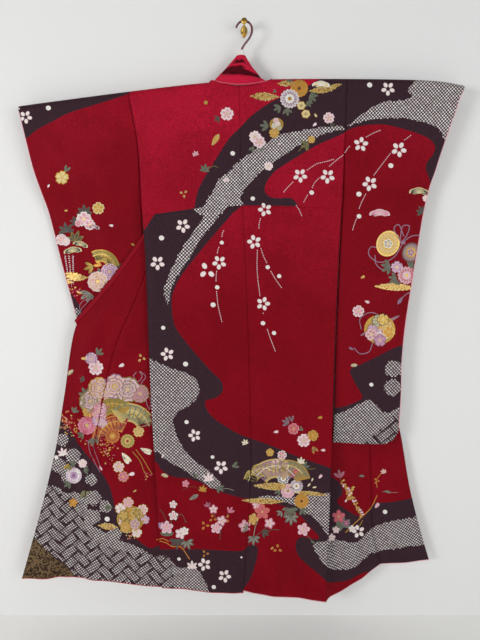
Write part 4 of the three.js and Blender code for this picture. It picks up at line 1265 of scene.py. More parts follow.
# dyed and gilt flowers
ink = {
    "white": (236, 230, 224), "blush": (232, 196, 202), "pink": (216, 142, 162), "rose": (190, 84, 104),
    "coral": (206, 104, 96), "cream": (226, 208, 156), "gold": (190, 146, 62), "paleGold": (216, 186, 110),
    "orange": (208, 142, 54), "olive": (132, 122, 60), "sage": (112, 120, 98), "leaf": (84, 86, 74),
    "darkLeaf": (62, 50, 50), "lilac": (186, 146, 184), "purple": (134, 96, 128), "mauve": (150, 112, 132),
    "brown": (96, 68, 40), "crimson": (150, 18, 40), "black": (30, 24, 26), "grey": (150, 146, 134),
}
gilded = {"gold": 1.0, "paleGold": 0.9, "orange": 0.5, "olive": 0.5, "brown": 0.4}
laying = {"gap": 0.35, "layer": 0.05, "turn": 0.012, "turns": 12, "ring": 2.2, "stroke": 0.9, "fade": 1.5}


def turned(points, degrees):
    c, s = math.cos(math.radians(degrees)), math.sin(math.radians(degrees))
    return points @ np.array([[c, s], [-s, c]])


def offBy(x, y, reach, degrees):
    a = math.radians(degrees)
    return x + reach * math.cos(a), y + reach * math.sin(a)


# flat shapes on the picture's scale, waiting to be laid on the cloth
class Stencil:
    def __init__(self):
        self.shapes, self.level = [], 0

    def put(self, x, y, outline, middle, rim=None, up=0):
        self.shapes.append((np.array([x, y], float), outline, middle, rim or middle, self.level + up))

    def oval(self, x, y, rx, ry, turn=0, middle="white", rim=None, up=0, sides=12):
        a = np.linspace(0, 2 * math.pi, sides, endpoint=False)
        self.put(x, y, turned(np.stack([rx * np.cos(a), ry * np.sin(a)], 1), turn), middle, rim, up)

    # a petal that starts at its foot: narrow there and round, notched or pointed at its tip
    def petal(self, x, y, turn, length, width, middle, rim=None, tip=0.0, up=0):
        a = np.linspace(0, 2 * math.pi, 14, endpoint=False)
        nick = np.exp(-((a / 0.3) ** 2)) + np.exp(-(((a - 2 * math.pi) / 0.3) ** 2))
        reach = 0.5 * length * np.cos(a) - tip * length * nick
        breadth = 0.5 * width * np.sin(a) * (1 + 0.42 * np.cos(a))
        shape = turned(np.stack([reach, breadth], 1), turn)
        self.put(*offBy(x, y, 0.5 * length, turn), shape, middle, rim, up)

    # a petal in two tones on a line of a third
    def edged(self, x, y, turn, size, grow, widths, line, middle, rim, tip, up):
        self.petal(x, y, turn, size * grow[0], size * widths[0], line, tip=tip, up=up)
        self.petal(x, y, turn, size * grow[1], size * widths[1], middle, rim, tip=tip, up=up + 0.2)

    # a drawn line with even width, made of short overlapping pieces
    def stroke(self, points, wide, tone, dashed=False, up=0):
        points = alongLine(np.array([(x, y, 0) for x, y in points], float), np.linspace(0, 1, 60))[:, :2]
        walk = np.append(0, np.cumsum(np.hypot(*np.diff(points, axis=0).T)))
        pace = laying["stroke"] * (2.1 if dashed else 1.3)
        for at in np.arange(0, walk[-1], pace):
            (x, x2), (y, y2) = (np.interp([at, at + 0.5], walk, points[:, k]) for k in (0, 1))
            turn = math.degrees(math.atan2(y2 - y, x2 - x))
            self.oval(x, y, 0.66 if dashed else 1.0, wide / 2, turn, tone, up=up, sides=7)


# every motif takes its numbers from the sheet, then its tones
def tied(s, x, y, size, turn=0, petals=5):
    for k in range(petals):
        a = turn + k * (72 if petals == 5 else 100)
        place = offBy(x, y, 0.62 * size, a)
        s.oval(*place, 0.38 * size, 0.29 * size, a, "white", "blush")
        s.oval(*place, 0.3 * size, 0.22 * size, a, "white", up=1)


def three(s, x, y, size, turn):
    tied(s, x, y, size, turn, 3)


def dot(s, x, y, size):
    s.oval(x, y, size, size * 0.92, 20)


def dashes(s, *numbers):
    s.stroke(np.reshape(numbers, (-1, 2)), 1.0, "blush", dashed=True)


def stroke(s, *rest):
    *numbers, wide, tones = rest
    s.stroke(np.reshape(numbers, (-1, 2)), wide, tones[0])


def beads(s, x, y, far, size, turn, count, up):
    for k in range(count):
        place = offBy(x, y, far * size, turn + 360 / count * k)
        s.oval(*place, 0.07 * size, 0.07 * size, 0, "paleGold", up=up, sides=6)


def cherry(s, x, y, size, turn, tones):
    deep, pale, line = tones
    for k in range(5):
        s.edged(x, y, turn + 72 * k - 90, size, (1.08, 0.98), (0.86, 0.7), line, deep, pale, 0.12, 0.4 * k)
    beads(s, x, y, 0.3, size, turn - 54, 5, 3)
    s.oval(x, y, 0.16 * size, 0.16 * size, 0, "paleGold", up=3, sides=8)


def chrysanth(s, x, y, size, turn, count, tones):
    pale, deep, heart = tones
    count = int(count)
    s.oval(x, y, 0.97 * size, 0.97 * size, 0, deep, sides=20)
    for k in range(count):
        s.petal(x, y, turn + 360 / count * k, size, size * 4.9 / count, deep, pale, up=1)
    s.oval(x, y, 0.42 * size, 0.42 * size, 0, deep, up=2)
    for k in range(10):
        s.petal(x, y, turn + 18 + 36 * k, size * 0.5, size * 0.26, pale, up=3)
    s.oval(x, y, 0.2 * size, 0.2 * size, 0, heart, up=4, sides=9)


def peony(s, x, y, size, turn, tones):
    deep, pale, line = tones
    for ring, (reach, count) in enumerate(((1.0, 6), (0.7, 5), (0.42, 5))):
        for k in range(count):
            a, wide = turn + ring * 33 + 360 / count * k, size * reach
            s.edged(x, y, a, wide, (1.05, 0.95), (0.98, 0.84), line, deep, pale, 0.1, 2.4 * ring + 0.4 * k)
    beads(s, x, y, 0.13, size, turn, 6, 7)


def star(s, x, y, size, turn, tones):
    for k in range(5):
        a = turn + 72 * k - 90
        s.edged(x, y, a, size, (1.06, 0.92), (0.744, 0.6), tones[1], *tones, -0.08, 0.4 * k)
    s.oval(x, y, 0.16 * size, 0.16 * size, 0, "paleGold", up=3, sides=6)


def maple(s, x, y, size, turn, tones):
    for k, reach in zip((-2, -1, 0, 1, 2), (0.7, 0.92, 1, 0.92, 0.7)):
        s.petal(x, y, turn - 90 + 44 * k, size * reach, size * 0.36, *tones, tip=-0.12, up=1)
    s.oval(x, y, 0.24 * size, 0.24 * size, 0, tones[0], up=1, sides=8)


def spray(s, x, y, size, turn, count, tones):
    for k in range(int(count)):
        off = k - (count - 1) / 2
        s.petal(x, y, turn + off * 42, size * (1 - 0.1 * abs(off)), size * 0.34, *tones, tip=-0.12)


def drop(s, x, y, size, turn, tones):
    s.petal(x, y, turn, size * 2, size * 1.1, *tones)


def leafone(s, x, y, size, turn, tones):
    s.petal(x, y, turn, size, size * 0.42, *tones, tip=-0.14)
    s.petal(x, y, turn, size * 0.9, size * 0.07, tones[1], up=1)


def berries(s, x, y, size, turn, tones):
    for k in range(3):
        a = turn + 120 * k
        s.oval(*offBy(x, y, size, a), 0.55 * size, 0.42 * size, a, tones[0], sides=9)
        s.oval(*offBy(x, y, size, a), 0.26 * size, 0.18 * size, a, "crimson", up=1, sides=7)


def pine(s, x, y, size, turn, tones):
    rim, deep, _ = tones
    a = np.linspace(math.pi, 2 * math.pi, 22)
    lobes = size * (1 + 0.1 * np.abs(np.sin(a * 3)))
    dome = np.stack([lobes * np.cos(a), 0.62 * lobes * np.sin(a) + 0.24 * size], 1)
    base = np.stack(
        [np.linspace(0.8, -0.8, 6) * size, 0.24 * size + 0.06 * size * np.sin(np.arange(6) * 2.1)], 1
    )
    shape = turned(np.concatenate([dome, base]), turn)
    s.put(x, y, shape, rim)
    s.put(x, y, shape * 0.84, deep, up=1)
    foot = offBy(x, y, 0.16 * size, turn + 90)
    for k in range(9):
        s.petal(*foot, turn - 170 + 20 * k, size * 0.62, size * 0.07, rim, up=2)


def giltcloud(s, x, y, wide, high, turn):
    count = max(4, round(wide / high * 2.2))
    for at in (k / (count - 1) * 2 - 1 for k in range(count)):
        place = offBy(x, y, at * (wide / 2 - high * 0.3), turn)
        s.oval(*place, wide / count * 0.95, 0.5 * high * (1 - 0.75 * abs(at) ** 2), turn, "gold", "paleGold")
    chance = np.random.default_rng(int(x * 7 + y * 13))
    for _ in range(int(wide * high / 2.6)):
        a, b = chance.uniform(-1, 1), chance.uniform(-1, 1)
        if b * b > (1 - 0.75 * a * a) ** 2:
            continue
        away = turned(np.array([a * (wide / 2 - high * 0.1), b * high / 2]), turn)
        lie = chance.uniform(0, 180)
        tone = chance.choice(("paleGold", "brown", "crimson", "cream"))
        s.oval(*(away + (x, y)), 0.62, 0.5, lie, str(tone), up=2, sides=6)


def giltdust(s, x, y, wide, high, turn, count, tones=("paleGold", "orange", "rose")):
    chance = np.random.default_rng(int(x * 5 + y * 3))
    for _ in range(int(count)):
        away = turned(chance.normal(0, 0.4, 2) * (wide, high), turn)
        size = chance.uniform(0.5, 1.0)
        s.oval(*(away + (x, y)), size, size * 0.8, 0, str(chance.choice(tones)), sides=6)


# an open folding fan of plain ribs
def fan(s, x, y, size, turn, tones, spread=110):
    face, rib, line = tones
    a = np.radians(np.linspace(-spread / 2, spread / 2, 13))
    outer = np.stack([np.sin(a), -np.cos(a)], 1) * size
    inner = outer[::-1] * 0.36
    middle = np.array([0, -0.68 * size])
    place = turned(middle, turn) + (x, y)
    s.put(*place, turned(np.concatenate([outer, inner]) - middle, turn), rib, face)
    s.put(*place, turned(np.concatenate([outer * 0.95, inner * 1.25]) - middle, turn), face, rib, 1)
    for k in range(9):
        b = turn - 90 + (k / 8 - 0.5) * spread * 0.94
        s.petal(*offBy(x, y, 0.4 * size, b), b, size * 0.56, size * 0.045, rib, up=2)
    s.stroke(turned(outer[::3] * 0.76, turn) + (x, y), 0.7, line, up=3)


def ginkgo(s, x, y, size, turn, tones):
    fan(s, x, y + size * 0.6, size, turn, (tones[0], tones[1], tones[0]), 96)


# a ball of cloth flowers
def ball(s, x, y, size, seed, tones):
    rows = ballTones[tones[0]]
    s.oval(x, y, size * 0.92, size * 0.86, 0, "olive", "gold", sides=22)
    chance = np.random.default_rng(int(seed))
    for k, row in enumerate(rows):
        a, far = 2.4 * k + chance.uniform(-0.3, 0.3), size * 0.66 * math.sqrt((k + 0.3) / len(rows))
        s.level = 4 + 4 * k
        cherry(s, x + far * math.cos(a), y + far * math.sin(a), size * 0.36, chance.uniform(0, 72), row.split())
    s.level = 0


ballTones = {
    "soft": ["white blush cream", "grey white cream", "pink blush white", "sage cream grey"],
    "rich": [
        "gold paleGold orange", "blush white pink", "orange paleGold gold", "rose blush white",
        "lilac blush purple",
        "gold cream orange", "pink white blush", "grey cream sage", "orange gold paleGold", "rose white pink",
        "gold paleGold brown", "lilac pink purple",
    ],
    "pile": [
        "gold paleGold olive", "olive gold paleGold", "gold orange paleGold", "mauve blush gold",
        "paleGold gold olive", "gold olive cream", "orange paleGold gold",
    ],
}


def hexflower(s, x, y, size, turn, tones):
    a = np.radians(np.arange(6) * 60 + turn)
    hexagon = np.stack([np.cos(a), np.sin(a)], 1) * size
    s.put(x, y, hexagon, tones[1])
    s.put(x, y, hexagon * 0.86, tones[0], up=1)
    for k in range(5):
        s.petal(x, y, turn + 72 * k, size * 0.62, size * 0.44, tones[1], tones[0], up=2)
    s.oval(x, y, 0.14 * size, 0.14 * size, 0, "brown", up=3, sides=6)


# a plain woven disc, its rings and spokes in gilt
def roundel(s, x, y, size, tones):
    tone = tones[0]
    pale, rim, heart = ("cream", "paleGold", "grey white paleGold")
    if tone != "gold":
        pale, rim, heart = ("grey", "brown", "purple lilac gold")
    s.oval(x, y, size * 0.93, size * 1.06, 25, tone, rim, sides=30)
    s.oval(x, y, size * 0.8, size * 0.92, 25, pale, tone, up=1, sides=26)
    for k in range(16):
        s.petal(x, y, 25 + 22.5 * k, size * 0.82, size * 0.15, "gold" if k % 2 else "orange", pale, up=2)
    s.oval(x, y, size * 0.46, size * 0.5, 25, "olive", "gold", up=3, sides=20)
    s.level = 4
    cherry(s, x, y, size * 0.42, 12, heart.split())
    s.level = 0


def oval(s, x, y, rx, ry, tones):
    s.oval(x, y, rx, ry, 0, tones[0])


def strings(s, x, y, x2, y2, count):
    for n in range(int(count)):
        across, reach = (n - (count - 1) / 2) * 3.9, 1 - 0.12 * abs(n - 1)
        for k in range(15):
            t = k / 14 * reach
            wide = 0.85 * (1 - 0.55 * t)
            px, py = x + across * (1 - 0.5 * t) + (x2 - x) * -t * 1.2, y + (y2 - y) * t
            tones = ("white", "blush") if k % 2 else ("lilac", "white")
            for way, down, tone in zip((-1, 1), (0, 0.4), tones):
                s.oval(px + way * wide * 0.5, py + down, wide * 0.52, 0.62, -20 * way, tone, sides=7)


def noshi(s, x, y, size, turn):
    s.petal(x, y, turn, size, size * 0.32, "cream", "white")
    s.petal(x + 1, y + 0.4, turn - 14, size * 0.92, size * 0.24, "white", "cream", up=1)
    giltdust(s, *offBy(x, y, size * 0.4, turn), size * 0.3, size * 0.14, turn, 9, ("sage", "olive", "grey"))


def pole(s, x, y, length, turn):
    s.oval(x, y, length / 2, 1.9, turn, "gold", "mauve", sides=24)
    s.stroke([offBy(x, y, k * length / 2, turn) for k in (-0.9, 0, 0.9)], 1.0, "mauve", up=1)


def diamond(s, x, y, size, tones):
    shape = np.array([(1, 0), (0.1, 0.8), (-1, 0), (-0.1, -0.8)]) * size
    s.put(x, y, shape, tones[0])
    s.put(x, y, shape * 0.6, tones[1], up=1)


def sprig(s, x, y, x2, y2, count, seed):
    chance = np.random.default_rng(int(seed))
    for k in range(int(count)):
        t = (k + 0.5) / count
        for way in (-1, 1):
            tone = str(chance.choice(["white", "blush", "orange", "paleGold", "coral"]))
            rim = "blush" if tone in ("white", "blush") else "gold"
            turn = chance.uniform(20, 80) * way + 40
            s.petal(x + (x2 - x) * t, y + (y2 - y) * t, turn, 3.4, 1.7, tone, rim)


flowers = (
    tied, three, cherry, chrysanth, peony, star, maple, spray, drop, leafone, berries, pine, ginkgo, sprig,
)
figures = (dot, dashes, stroke, oval, diamond, giltcloud, giltdust, fan, ball, hexflower, roundel, strings)
motifKinds = {kind.__name__: kind for kind in (*flowers, *figures, noshi, pole)}

# a kind counts until the next one is named, and so does the part that motifs are kept to
motifSheet = """
tied 25.7 117.1 6.6 10; 300.2 175.6 7.2 14; 327.6 176.3 7.4 22; 360.9 144.3 7.4 -10; 398.9 149.5 7.8 12;
369.8 183.7 7.6 30; 388 88.8 7 20; 182.9 225.8 7.2 12; 157.6 263 7.3 18; 167.4 354.2 6.8 40;
264.9 209.6 7 36; 254.2 241.9 7.2 40; 219.3 262.5 7.2 24; 263.2 303.7 7.0 0; 194.6 435.4 6.4 36;
221 467.1 7 20; 204.5 564.5 6.6 36; 224.6 576 6.6 8; 358.2 531.4 6.6 40; three 207.2 270.6 8.6 40;
dot 48.4 108 2.6; 232.7 153.4 2.4; 252.8 198.6 2.3; 369.6 85 2.7; 390.8 165.6 2.6; 358.9 194.1 2.7;
359 216.3 2.4; 311.6 192.6 2.4; 161.5 238 2.7; 221.8 242.6 2.1; 217.2 287.3 2.3; 213.1 304.8 2.6;
163.2 327.8 2.2; 185.6 364 2.6; 267.7 267.2 2.2; 279.2 276.1 2.2; 263 323.2 2.3; 274 333 2.2; 186.6 422 2.2;
212.5 457 1.9; 179 559 1.8; 213.8 587 2.2; 107.2 519 2.6; 56.3 457.3 2.2; 385 511.8 2.3; 371.3 384.6 2.1;
402.5 376 2; 241.4 557.3 1.1; dashes 292.8 182.2 288 187 282.9 192.9;
307.4 169.9 316.5 164 325.7 161.6 333.7 159.2; 329.5 166.1 336 160.5 343.4 154.9;
345 152.4 347.5 148.6 350.5 145.4; 318.8 178.3 314.5 183 311.9 188.3; 307.4 195.2 305.5 198.6 303.5 202.4;
296.3 205.6 299.5 210.6 302 216.7; 366.3 137 373.2 133.2 380.8 130.1; 404.5 140 408 137.6 411.4 134.7;
390 153.8 382.4 163.8 373.2 176; 365.5 194.4 361.6 202 358.6 209.9; 356.3 219 354.4 224 352.5 230.5;
223.5 230.8 222.5 233 221.8 236.6; 218.9 247.4 217.9 250 217.2 253.4; 216.6 271.5 216.2 276 216 282;
216.6 291.6 218.2 306 222 322; 260.4 218.7 259.3 223 258.8 228; 257.3 250.3 257.2 272 259.9 295.6;
261 248.5 263.5 256 267 263.5; 271 271.5 276 280 282.3 288.7; 263.3 313.2 263.3 314 263.3 315;
267.3 329.5 271 340 275.7 352; cherry 62 177.6 6.8 8 cream paleGold gold; spray 65 172 7 -60 leaf sage 2;
drop 47.6 187.6 1.8 -60 white blush; cherry 98.4 208.2 6 0 gold paleGold cream;
drop 64.4 210.6 1.6 0 orange paleGold; spray 84.5 214 9 -95 darkLeaf leaf 5; 77 222 7 190 darkLeaf leaf 3;
cherry 83.9 219 7.4 0 pink blush white; peony 78.4 223.2 3.6 0 rose pink blush;
cherry 89.8 224.6 5.4 20 pink blush white; pine 93.4 227 6.2 8 blush darkLeaf darkLeaf;
drop 109 225.2 2.2 8 white blush; spray 66.5 232 9 -100 darkLeaf leaf 5; 75 241 10 -70 darkLeaf olive 5;
peony 61.5 239.6 5.6 0 rose blush white; 65.8 241.4 4.4 0 lilac white blush;
pine 80.6 244.4 7.4 14 cream leaf sage; 72.7 250.6 8.8 -8 cream leaf sage; strings 69 256 66.8 286 3;
giltcloud 72 275.5 24 6.4 4; 66.5 281.5 12 6 10; 79 278.4 18 5 -6; giltdust 75.5 291 9 8 60 26;
on sleeveLeft; fan 100.6 268.5 19 26 gold olive paleGold; spray 93.2 266 9 160 gold olive 3;
101.6 265.4 8 -160 gold orange 2; 99 295.5 9 60 leaf sage 3; 89 292.5 10 120 leaf grey 4;
117 270 8 -20 leaf darkLeaf 3; 101.5 275 8 200 leaf sage 3; peony 109.6 271.6 8.4 0 purple lilac blush;
97.8 281.6 10.2 12 rose cream blush; stroke 88 299 83 301 79.6 306 80.4 311 0.7 mauve;
91 298.4 86 304 81.4 309 79.8 315 0.7 mauve; on any; drop 131.2 243.6 1.8 30 olive gold;
star 205.9 102.6 2 0 paleGold gold; cherry 227 114 6.6 6 pink white blush;
spray 219.6 117.6 5.6 150 darkLeaf leaf 3; leafone 212 145.4 12 -58 orange paleGold;
maple 195.9 155 4 -20 pink blush; 204.8 170.6 6.4 8 sage leaf; stroke 209 168.4 214 166 218 167.4 0.6 olive;
berries 183.7 193.6 2.7 -40 paleGold; giltcloud 264.5 96.6 27 8.6 2; 286.6 83.6 17 6.4 0;
322.6 89.6 25 7.4 -6; 334.6 86 14 4 -14; spray 289 82.6 5 -80 leaf sage 3;
pine 321 84.6 8.6 2 white cream gold; spray 280.4 106.6 7 150 leaf sage 3; 286.6 108.4 7 80 leaf sage 3;
309.6 95.8 8 20 leaf sage 4; 307.4 101.4 6 60 leaf sage 3; 276.6 92 4 200 leaf sage 2;
drop 305.4 78.6 3.4 -10 pink blush; chrysanth 299.2 88.4 9 0 orange gold brown 14;
289.7 98.7 9.8 8 white purple gold 16; hexflower 301.2 105.6 4.8 0 cream gold; 305.8 114 4.8 12 cream gold;
drop 314.6 113.6 2 60 paleGold cream; 312.8 126.2 2.4 -40 white blush;
cherry 328.8 117.9 5.6 -8 pink white blush; spray 331 123.4 4 60 darkLeaf leaf 3;
ball 276.5 124.4 7.6 3 soft; cherry 274.2 133 5.2 0 orange paleGold gold;
spray 268.4 126.6 8 190 leaf sage 3; cherry 255 136.8 6 10 blush white blush;
259.2 142 6.2 34 pink white blush; spray 253.6 146.4 6 120 leaf sage 2; 261 147 5 70 leaf sage 2;
cherry 268.6 166.2 4.4 16 blush white blush; drop 277.6 143.4 1.8 20 white blush;
cherry 311.4 139.6 3.8 0 gold paleGold orange; spray 308.6 143.2 8 150 leaf olive 3;
stroke 299 151 303 147 308 150 0.6 olive; maple 226.6 181 4 -20 blush white;
pine 419 191.6 9.6 3 cream leaf olive; cherry 425.8 198.4 3.4 0 blush white blush;
pine 379.6 213.4 10 0 blush pink rose; spray 422.6 212.6 7 -120 darkLeaf leaf 5;
roundel 388 243.6 12.4 gold; 411 252.4 9.6 mauve;
stroke 400 240 403 226 409 226 407.4 234 401 243 1.1 mauve; 401 243 394 228 398.4 224.6 403.6 236 1.1 mauve;
403 242 412 236 422.4 236.4 421 241.6 1.1 mauve;
403 243 393 258 378 262 368.6 254 371 247 378.4 248 1.1 mauve; 375 256 376 264 384 270 396 264.6 1.1 mauve;
oval 403 242.4 2.4 2.0 mauve; spray 390 266.4 9 170 leaf sage 4; 408.6 266 9 -30 leaf sage 4;
396.4 278.6 8 170 leaf sage 4; cherry 396.9 267.2 6.2 0 lilac blush purple;
chrysanth 406.5 275.4 9 4 blush rose paleGold 14; giltcloud 395 287 39 7.6 2;
drop 360.8 278.2 2.2 -30 orange paleGold; spray 398 285.4 5 -90 leaf sage 3;
stroke 412.5 291.4 406.5 294 401.5 298.6 1.0 mauve; leafone 402.6 297 8 125 mauve purple;
drop 364.6 301 2.6 18 white pink; cherry 358.3 311.3 5.8 6 pink blush white; pole 380 325.6 44 -27;
stroke 361 328.6 360 319 368 313 376 313.6 380 320 1.0 mauve;
372.6 343 369 351.6 360 353.6 354 348 1.0 mauve; leafone 353.6 350 5 -150 mauve purple;
ball 379.6 329.4 17 9 rich; ginkgo 354.2 365.4 4.6 0 cream grey; 72.6 371.6 5 -40 cream grey;
spray 84.6 380 5 200 darkLeaf leaf 3; drop 81.2 358.4 2.4 0 gold paleGold;
peony 91.4 358.6 6.4 0 lilac blush purple; spray 97 354.4 7 -50 leaf sage 3;
cherry 95.9 367.8 7.4 4 pink white blush; drop 118.6 366.6 3 -24 white blush;
berries 141.4 358.2 2.8 10 paleGold; stroke 136 372.6 133.6 376 138 381.6 142 376 139.6 371.4 0.9 mauve;
141 372 145.6 376.6 141.4 384 147 389 0.9 mauve;
146.6 393 150.6 400 149.4 409 146.4 402 147.6 394 0.9 mauve; peony 99 388 11 0 mauve blush gold;
114.6 386.4 12.6 10 gold blush mauve; 127.6 389.6 13 24 mauve blush olive;
140 393.6 9.4 40 mauve pink olive; 106 392 8.4 30 mauve blush gold;
chrysanth 121 384.4 5.2 0 blush mauve gold 12; spray 87 396 9 -120 leaf sage 3;
peony 90.4 401.6 11.4 0 mauve blush olive; 99.6 410.8 9.6 12 lilac blush rose;
cherry 88.4 411.6 6 0 orange paleGold gold; fan 113 424 27 -8 gold olive paleGold;
128 432 29 18 paleGold sage cream; 118 441 26 -30 orange crimson paleGold;
spray 141 418 10 -60 olive gold 3; chrysanth 112.6 436 7.4 10 orange crimson paleGold 14;
127.6 441 7 0 paleGold olive crimson 14; cherry 138.6 431.6 5.6 0 gold cream orange;
peony 103.6 424 6 10 lilac blush mauve; spray 73.4 412.6 6 -60 leaf sage 3;
cherry 97.4 420.6 5.8 0 lilac blush purple; chrysanth 87 425.4 9.4 6 pink rose paleGold 14;
spray 92.6 437.6 8 60 leaf sage 4; 83 433.6 6 140 leaf sage 3; giltdust 70 427 11 22 -40 60;
106 448 12 16 -40 60; 64 420 10 9 0 24; stroke 88 441 90 452 94.6 462 99.8 471.6 0.7 mauve;
91 441 95 452 100 466 0.6 mauve; leafone 99.6 466 4.6 60 pink blush; noshi 122 452.6 13 60; 140.4 448 12 30;
cherry 118.6 466.8 5.8 0 pink white gold; 123.4 476.6 5.4 20 rose pink gold;
drop 128.4 474.8 3.2 -14 white blush; stroke 133 452 140 461 143.6 470 147 477 0.8 gold;
136.4 450 143 459 148.6 468.4 152 474 0.8 gold; giltdust 147 474 4 6 0 14;
maple 63.2 454.4 6.6 -14 white blush; diamond 69 468 6 gold olive; spray 75 465 6 -150 leaf sage 3;
cherry 82.6 463.4 4.4 0 blush white blush; spray 83.6 470 6 0 leaf sage 3; 70 482 7 140 leaf sage 3;
chrysanth 73.8 475.4 8.2 0 lilac white purple 14; spray 82.6 491 8 60 olive sage 3;
star 73.2 502.6 4.2 10 gold orange; diamond 108 507.4 4.6 sage leaf; leafone 133 492 3.6 -30 gold paleGold;
giltcloud 108 526.4 19 7 6; ball 130.6 518.6 15 21 pile; cherry 120.5 508.4 5.6 0 white blush gold;
128.2 502.4 5.6 12 pink blush gold; 142.6 509.6 5.6 20 pink white gold; 124.6 519.8 6.6 4 rose blush white;
136.8 532.4 5.4 12 blush white gold; 145 519.6 4.6 0 lilac blush purple; giltcloud 127 530.6 14 5 0;
giltdust 132 536 12 4 0 24; stroke 160.4 541 166.6 543 172 546.4 180.6 547 189.4 558.6 0.9 orange;
157 539.6 163 538.6 169 541.6 0.8 orange; star 166.8 527.4 6 0 pink blush; 161 525.6 3.4 30 purple lilac;
173.4 515.6 4.4 0 pink white; 173.2 504.4 3.6 10 pink white; stroke 172.6 509 172 518 168 534 0.6 leaf;
166 520 163 513 160.4 509.6 0.6 leaf; 176 520 181 514 186.4 523 0.6 leaf; spray 167 536 8 -90 leaf sage 4;
star 180.6 533.4 5.2 14 white blush; 184.8 531 3.8 -10 blush white; spray 177 539.6 9 90 darkLeaf leaf 5;
186.8 541.4 8 70 grey leaf 5; star 213.4 509.2 4.2 0 white pink; 221.6 520.6 4.8 20 white pink;
216.2 528 5.2 10 pink blush; stroke 219.8 538.6 220.4 526 214 514 207.6 502.4 0.6 leaf;
220 532 225 520 230 509.6 0.6 leaf; spray 208.2 507 5 -110 rose mauve 3; 229 512.6 6 -60 rose pink 3;
berries 212.8 518.4 2.6 20 orange; 226.4 518.6 2.6 60 orange; 204.8 525.6 2.9 0 orange;
spray 232 466.6 7 -20 leaf sage 2; 198 475 5 170 leaf sage 2; 217.6 486.6 7 40 sage leaf 3;
stroke 222 489 228 488.6 234 490.4 0.5 grey; maple 208.9 479.8 7 -8 white blush;
star 185.7 483.6 3.4 10 rose pink; maple 202.6 490.6 5.2 10 orange gold;
stroke 183 490 192 486.6 200 489 0.5 brown; leafone 189.6 499.6 9 -30 darkLeaf grey;
ginkgo 163.8 475.4 5 20 cream grey; leafone 161.6 458 4 -60 white blush; maple 192 567.6 6.6 0 blush white;
berries 205.2 553.6 2.4 0 orange; cherry 293.6 428.8 5.6 8 rose coral pink;
spray 289 423 7 200 leaf mauve 3; 292 421.6 6 -100 leaf mauve 2; cherry 303.8 440.4 6.6 0 pink white blush;
312.8 435.6 5.4 12 orange gold paleGold; spray 312.6 446.6 7 60 leaf orange 2; 303 430.6 5 -140 leaf sage 2;
drop 273.4 432.2 2.6 -8 white pink; 320.6 450.2 2.4 0 white pink; 317.6 418 2.4 -10 orange gold;
maple 245.4 443.6 4.4 -20 white cream; giltcloud 276.6 486.6 44 8 3;
fan 264 484 21 -22 paleGold olive cream; 287 483.6 24 22 gold sage cream;
275.6 488.6 30 0 paleGold mauve white; cherry 270 452.4 4 0 gold paleGold orange;
282 455 4.6 20 rose blush white; 276.4 463.4 5 0 pink white gold; 266.6 468.6 4.6 0 orange paleGold gold;
chrysanth 287 466 4.4 0 cream olive gold 12; maple 300.7 462.6 5.4 6 white cream;
stroke 300 478 306 470 314.6 468.6 0.6 olive; spray 303 468 7 -60 leaf sage 3;
chrysanth 295.9 472.2 6.2 0 rose crimson orange 14; 283.2 478.6 6 6 white black gold 10;
296.4 486 6.6 0 white purple gold 16; leafone 307.6 486.6 4 -50 white cream;
311.6 481.6 3.6 -70 white cream; 312.4 487.6 3.8 -10 white cream; drop 318.6 478.6 2.6 -50 white pink;
spray 279.6 489.6 6 140 leaf sage 3; chrysanth 287.9 490.8 7.4 10 blush pink gold 14;
giltcloud 309.6 493.4 34 4.6 5; 262.6 501 40 6 2; spray 290 508.6 9 90 leaf sage 5;
301.6 508.4 7 60 leaf sage 3; chrysanth 301.6 501 7.4 0 orange gold brown 14;
spray 291 516 9 90 grey leaf 5; 282 511.6 6 140 grey leaf 3; star 262.3 511.8 7 0 rose coral;
252.5 519 5.4 20 orange paleGold; 244.8 526 5.8 -10 blush pink; 269.6 523.2 5 20 white pink;
256.4 505 4 0 white pink; stroke 253.4 538 255 528 259 517 0.8 grey; 253.4 538 262 531 269 525 0.7 leaf;
spray 253.4 537 8 90 grey leaf 5; 248 529 7 200 leaf grey 3; 262.4 531.6 7 30 leaf darkLeaf 3;
stroke 266 534 272 529.6 279 530 0.6 leaf; star 303.4 529.4 6 14 pink blush;
stroke 305 534 309 537 313 542 0.7 leaf; leafone 310.4 540.6 5 30 sage leaf;
berries 277.6 548.8 3 30 orange; drop 270.6 549.4 1.8 -40 paleGold orange;
spray 340 478 8 -100 rose mauve 3; stroke 338 472 342 484 352 500 360.6 517.6 0.6 brown;
sprig 341 480 362 516 14 5; 346 500 352 486 7 3;
stroke 346 532 354 524 362 516.6 371 507.6 377 495.6 0.9 orange; 356 527 360 525 362.6 520 0.8 gold;
drop 375 507.8 3 -50 pink blush; leafone 358.6 475.6 5.4 5 grey leaf; 384.6 490.6 6 20 grey leaf;
stroke 383 491.6 391 492.4 397 492.4 0.4 grey; maple 383.8 472.6 4 -16 white coral;
stroke 380.4 474 376.6 480 377 487 0.7 orange; berries 376.4 481 2 0 orange;
spray 342 526 10 -60 leaf sage 4; 340 531 9 -110 leaf sage 3; star 338.6 516.4 6 0 coral rose;
346.4 523 3.4 20 rose purple; 336 529.8 3.4 0 white blush; 331.6 537.4 3.6 0 white blush;
352 528.6 3.2 0 blush white; leafone 332 542 5 90 grey leaf
"""


# each motif's shapes, with the part that it is kept to
def readMotifs():
    part = "any"
    for row in motifSheet.split(";"):
        words = row.split()
        if words[0] == "on":
            part = words[1]
            continue
        if words[0] in motifKinds:
            draw = motifKinds[words.pop(0)]
        numbers = [float(word) for word in words if word[-1].isdigit()]
        tones = [word for word in words if not word[-1].isdigit()]
        stencil = Stencil()
        draw(stencil, *numbers, *([tones] if tones else []))
        yield stencil.shapes, part


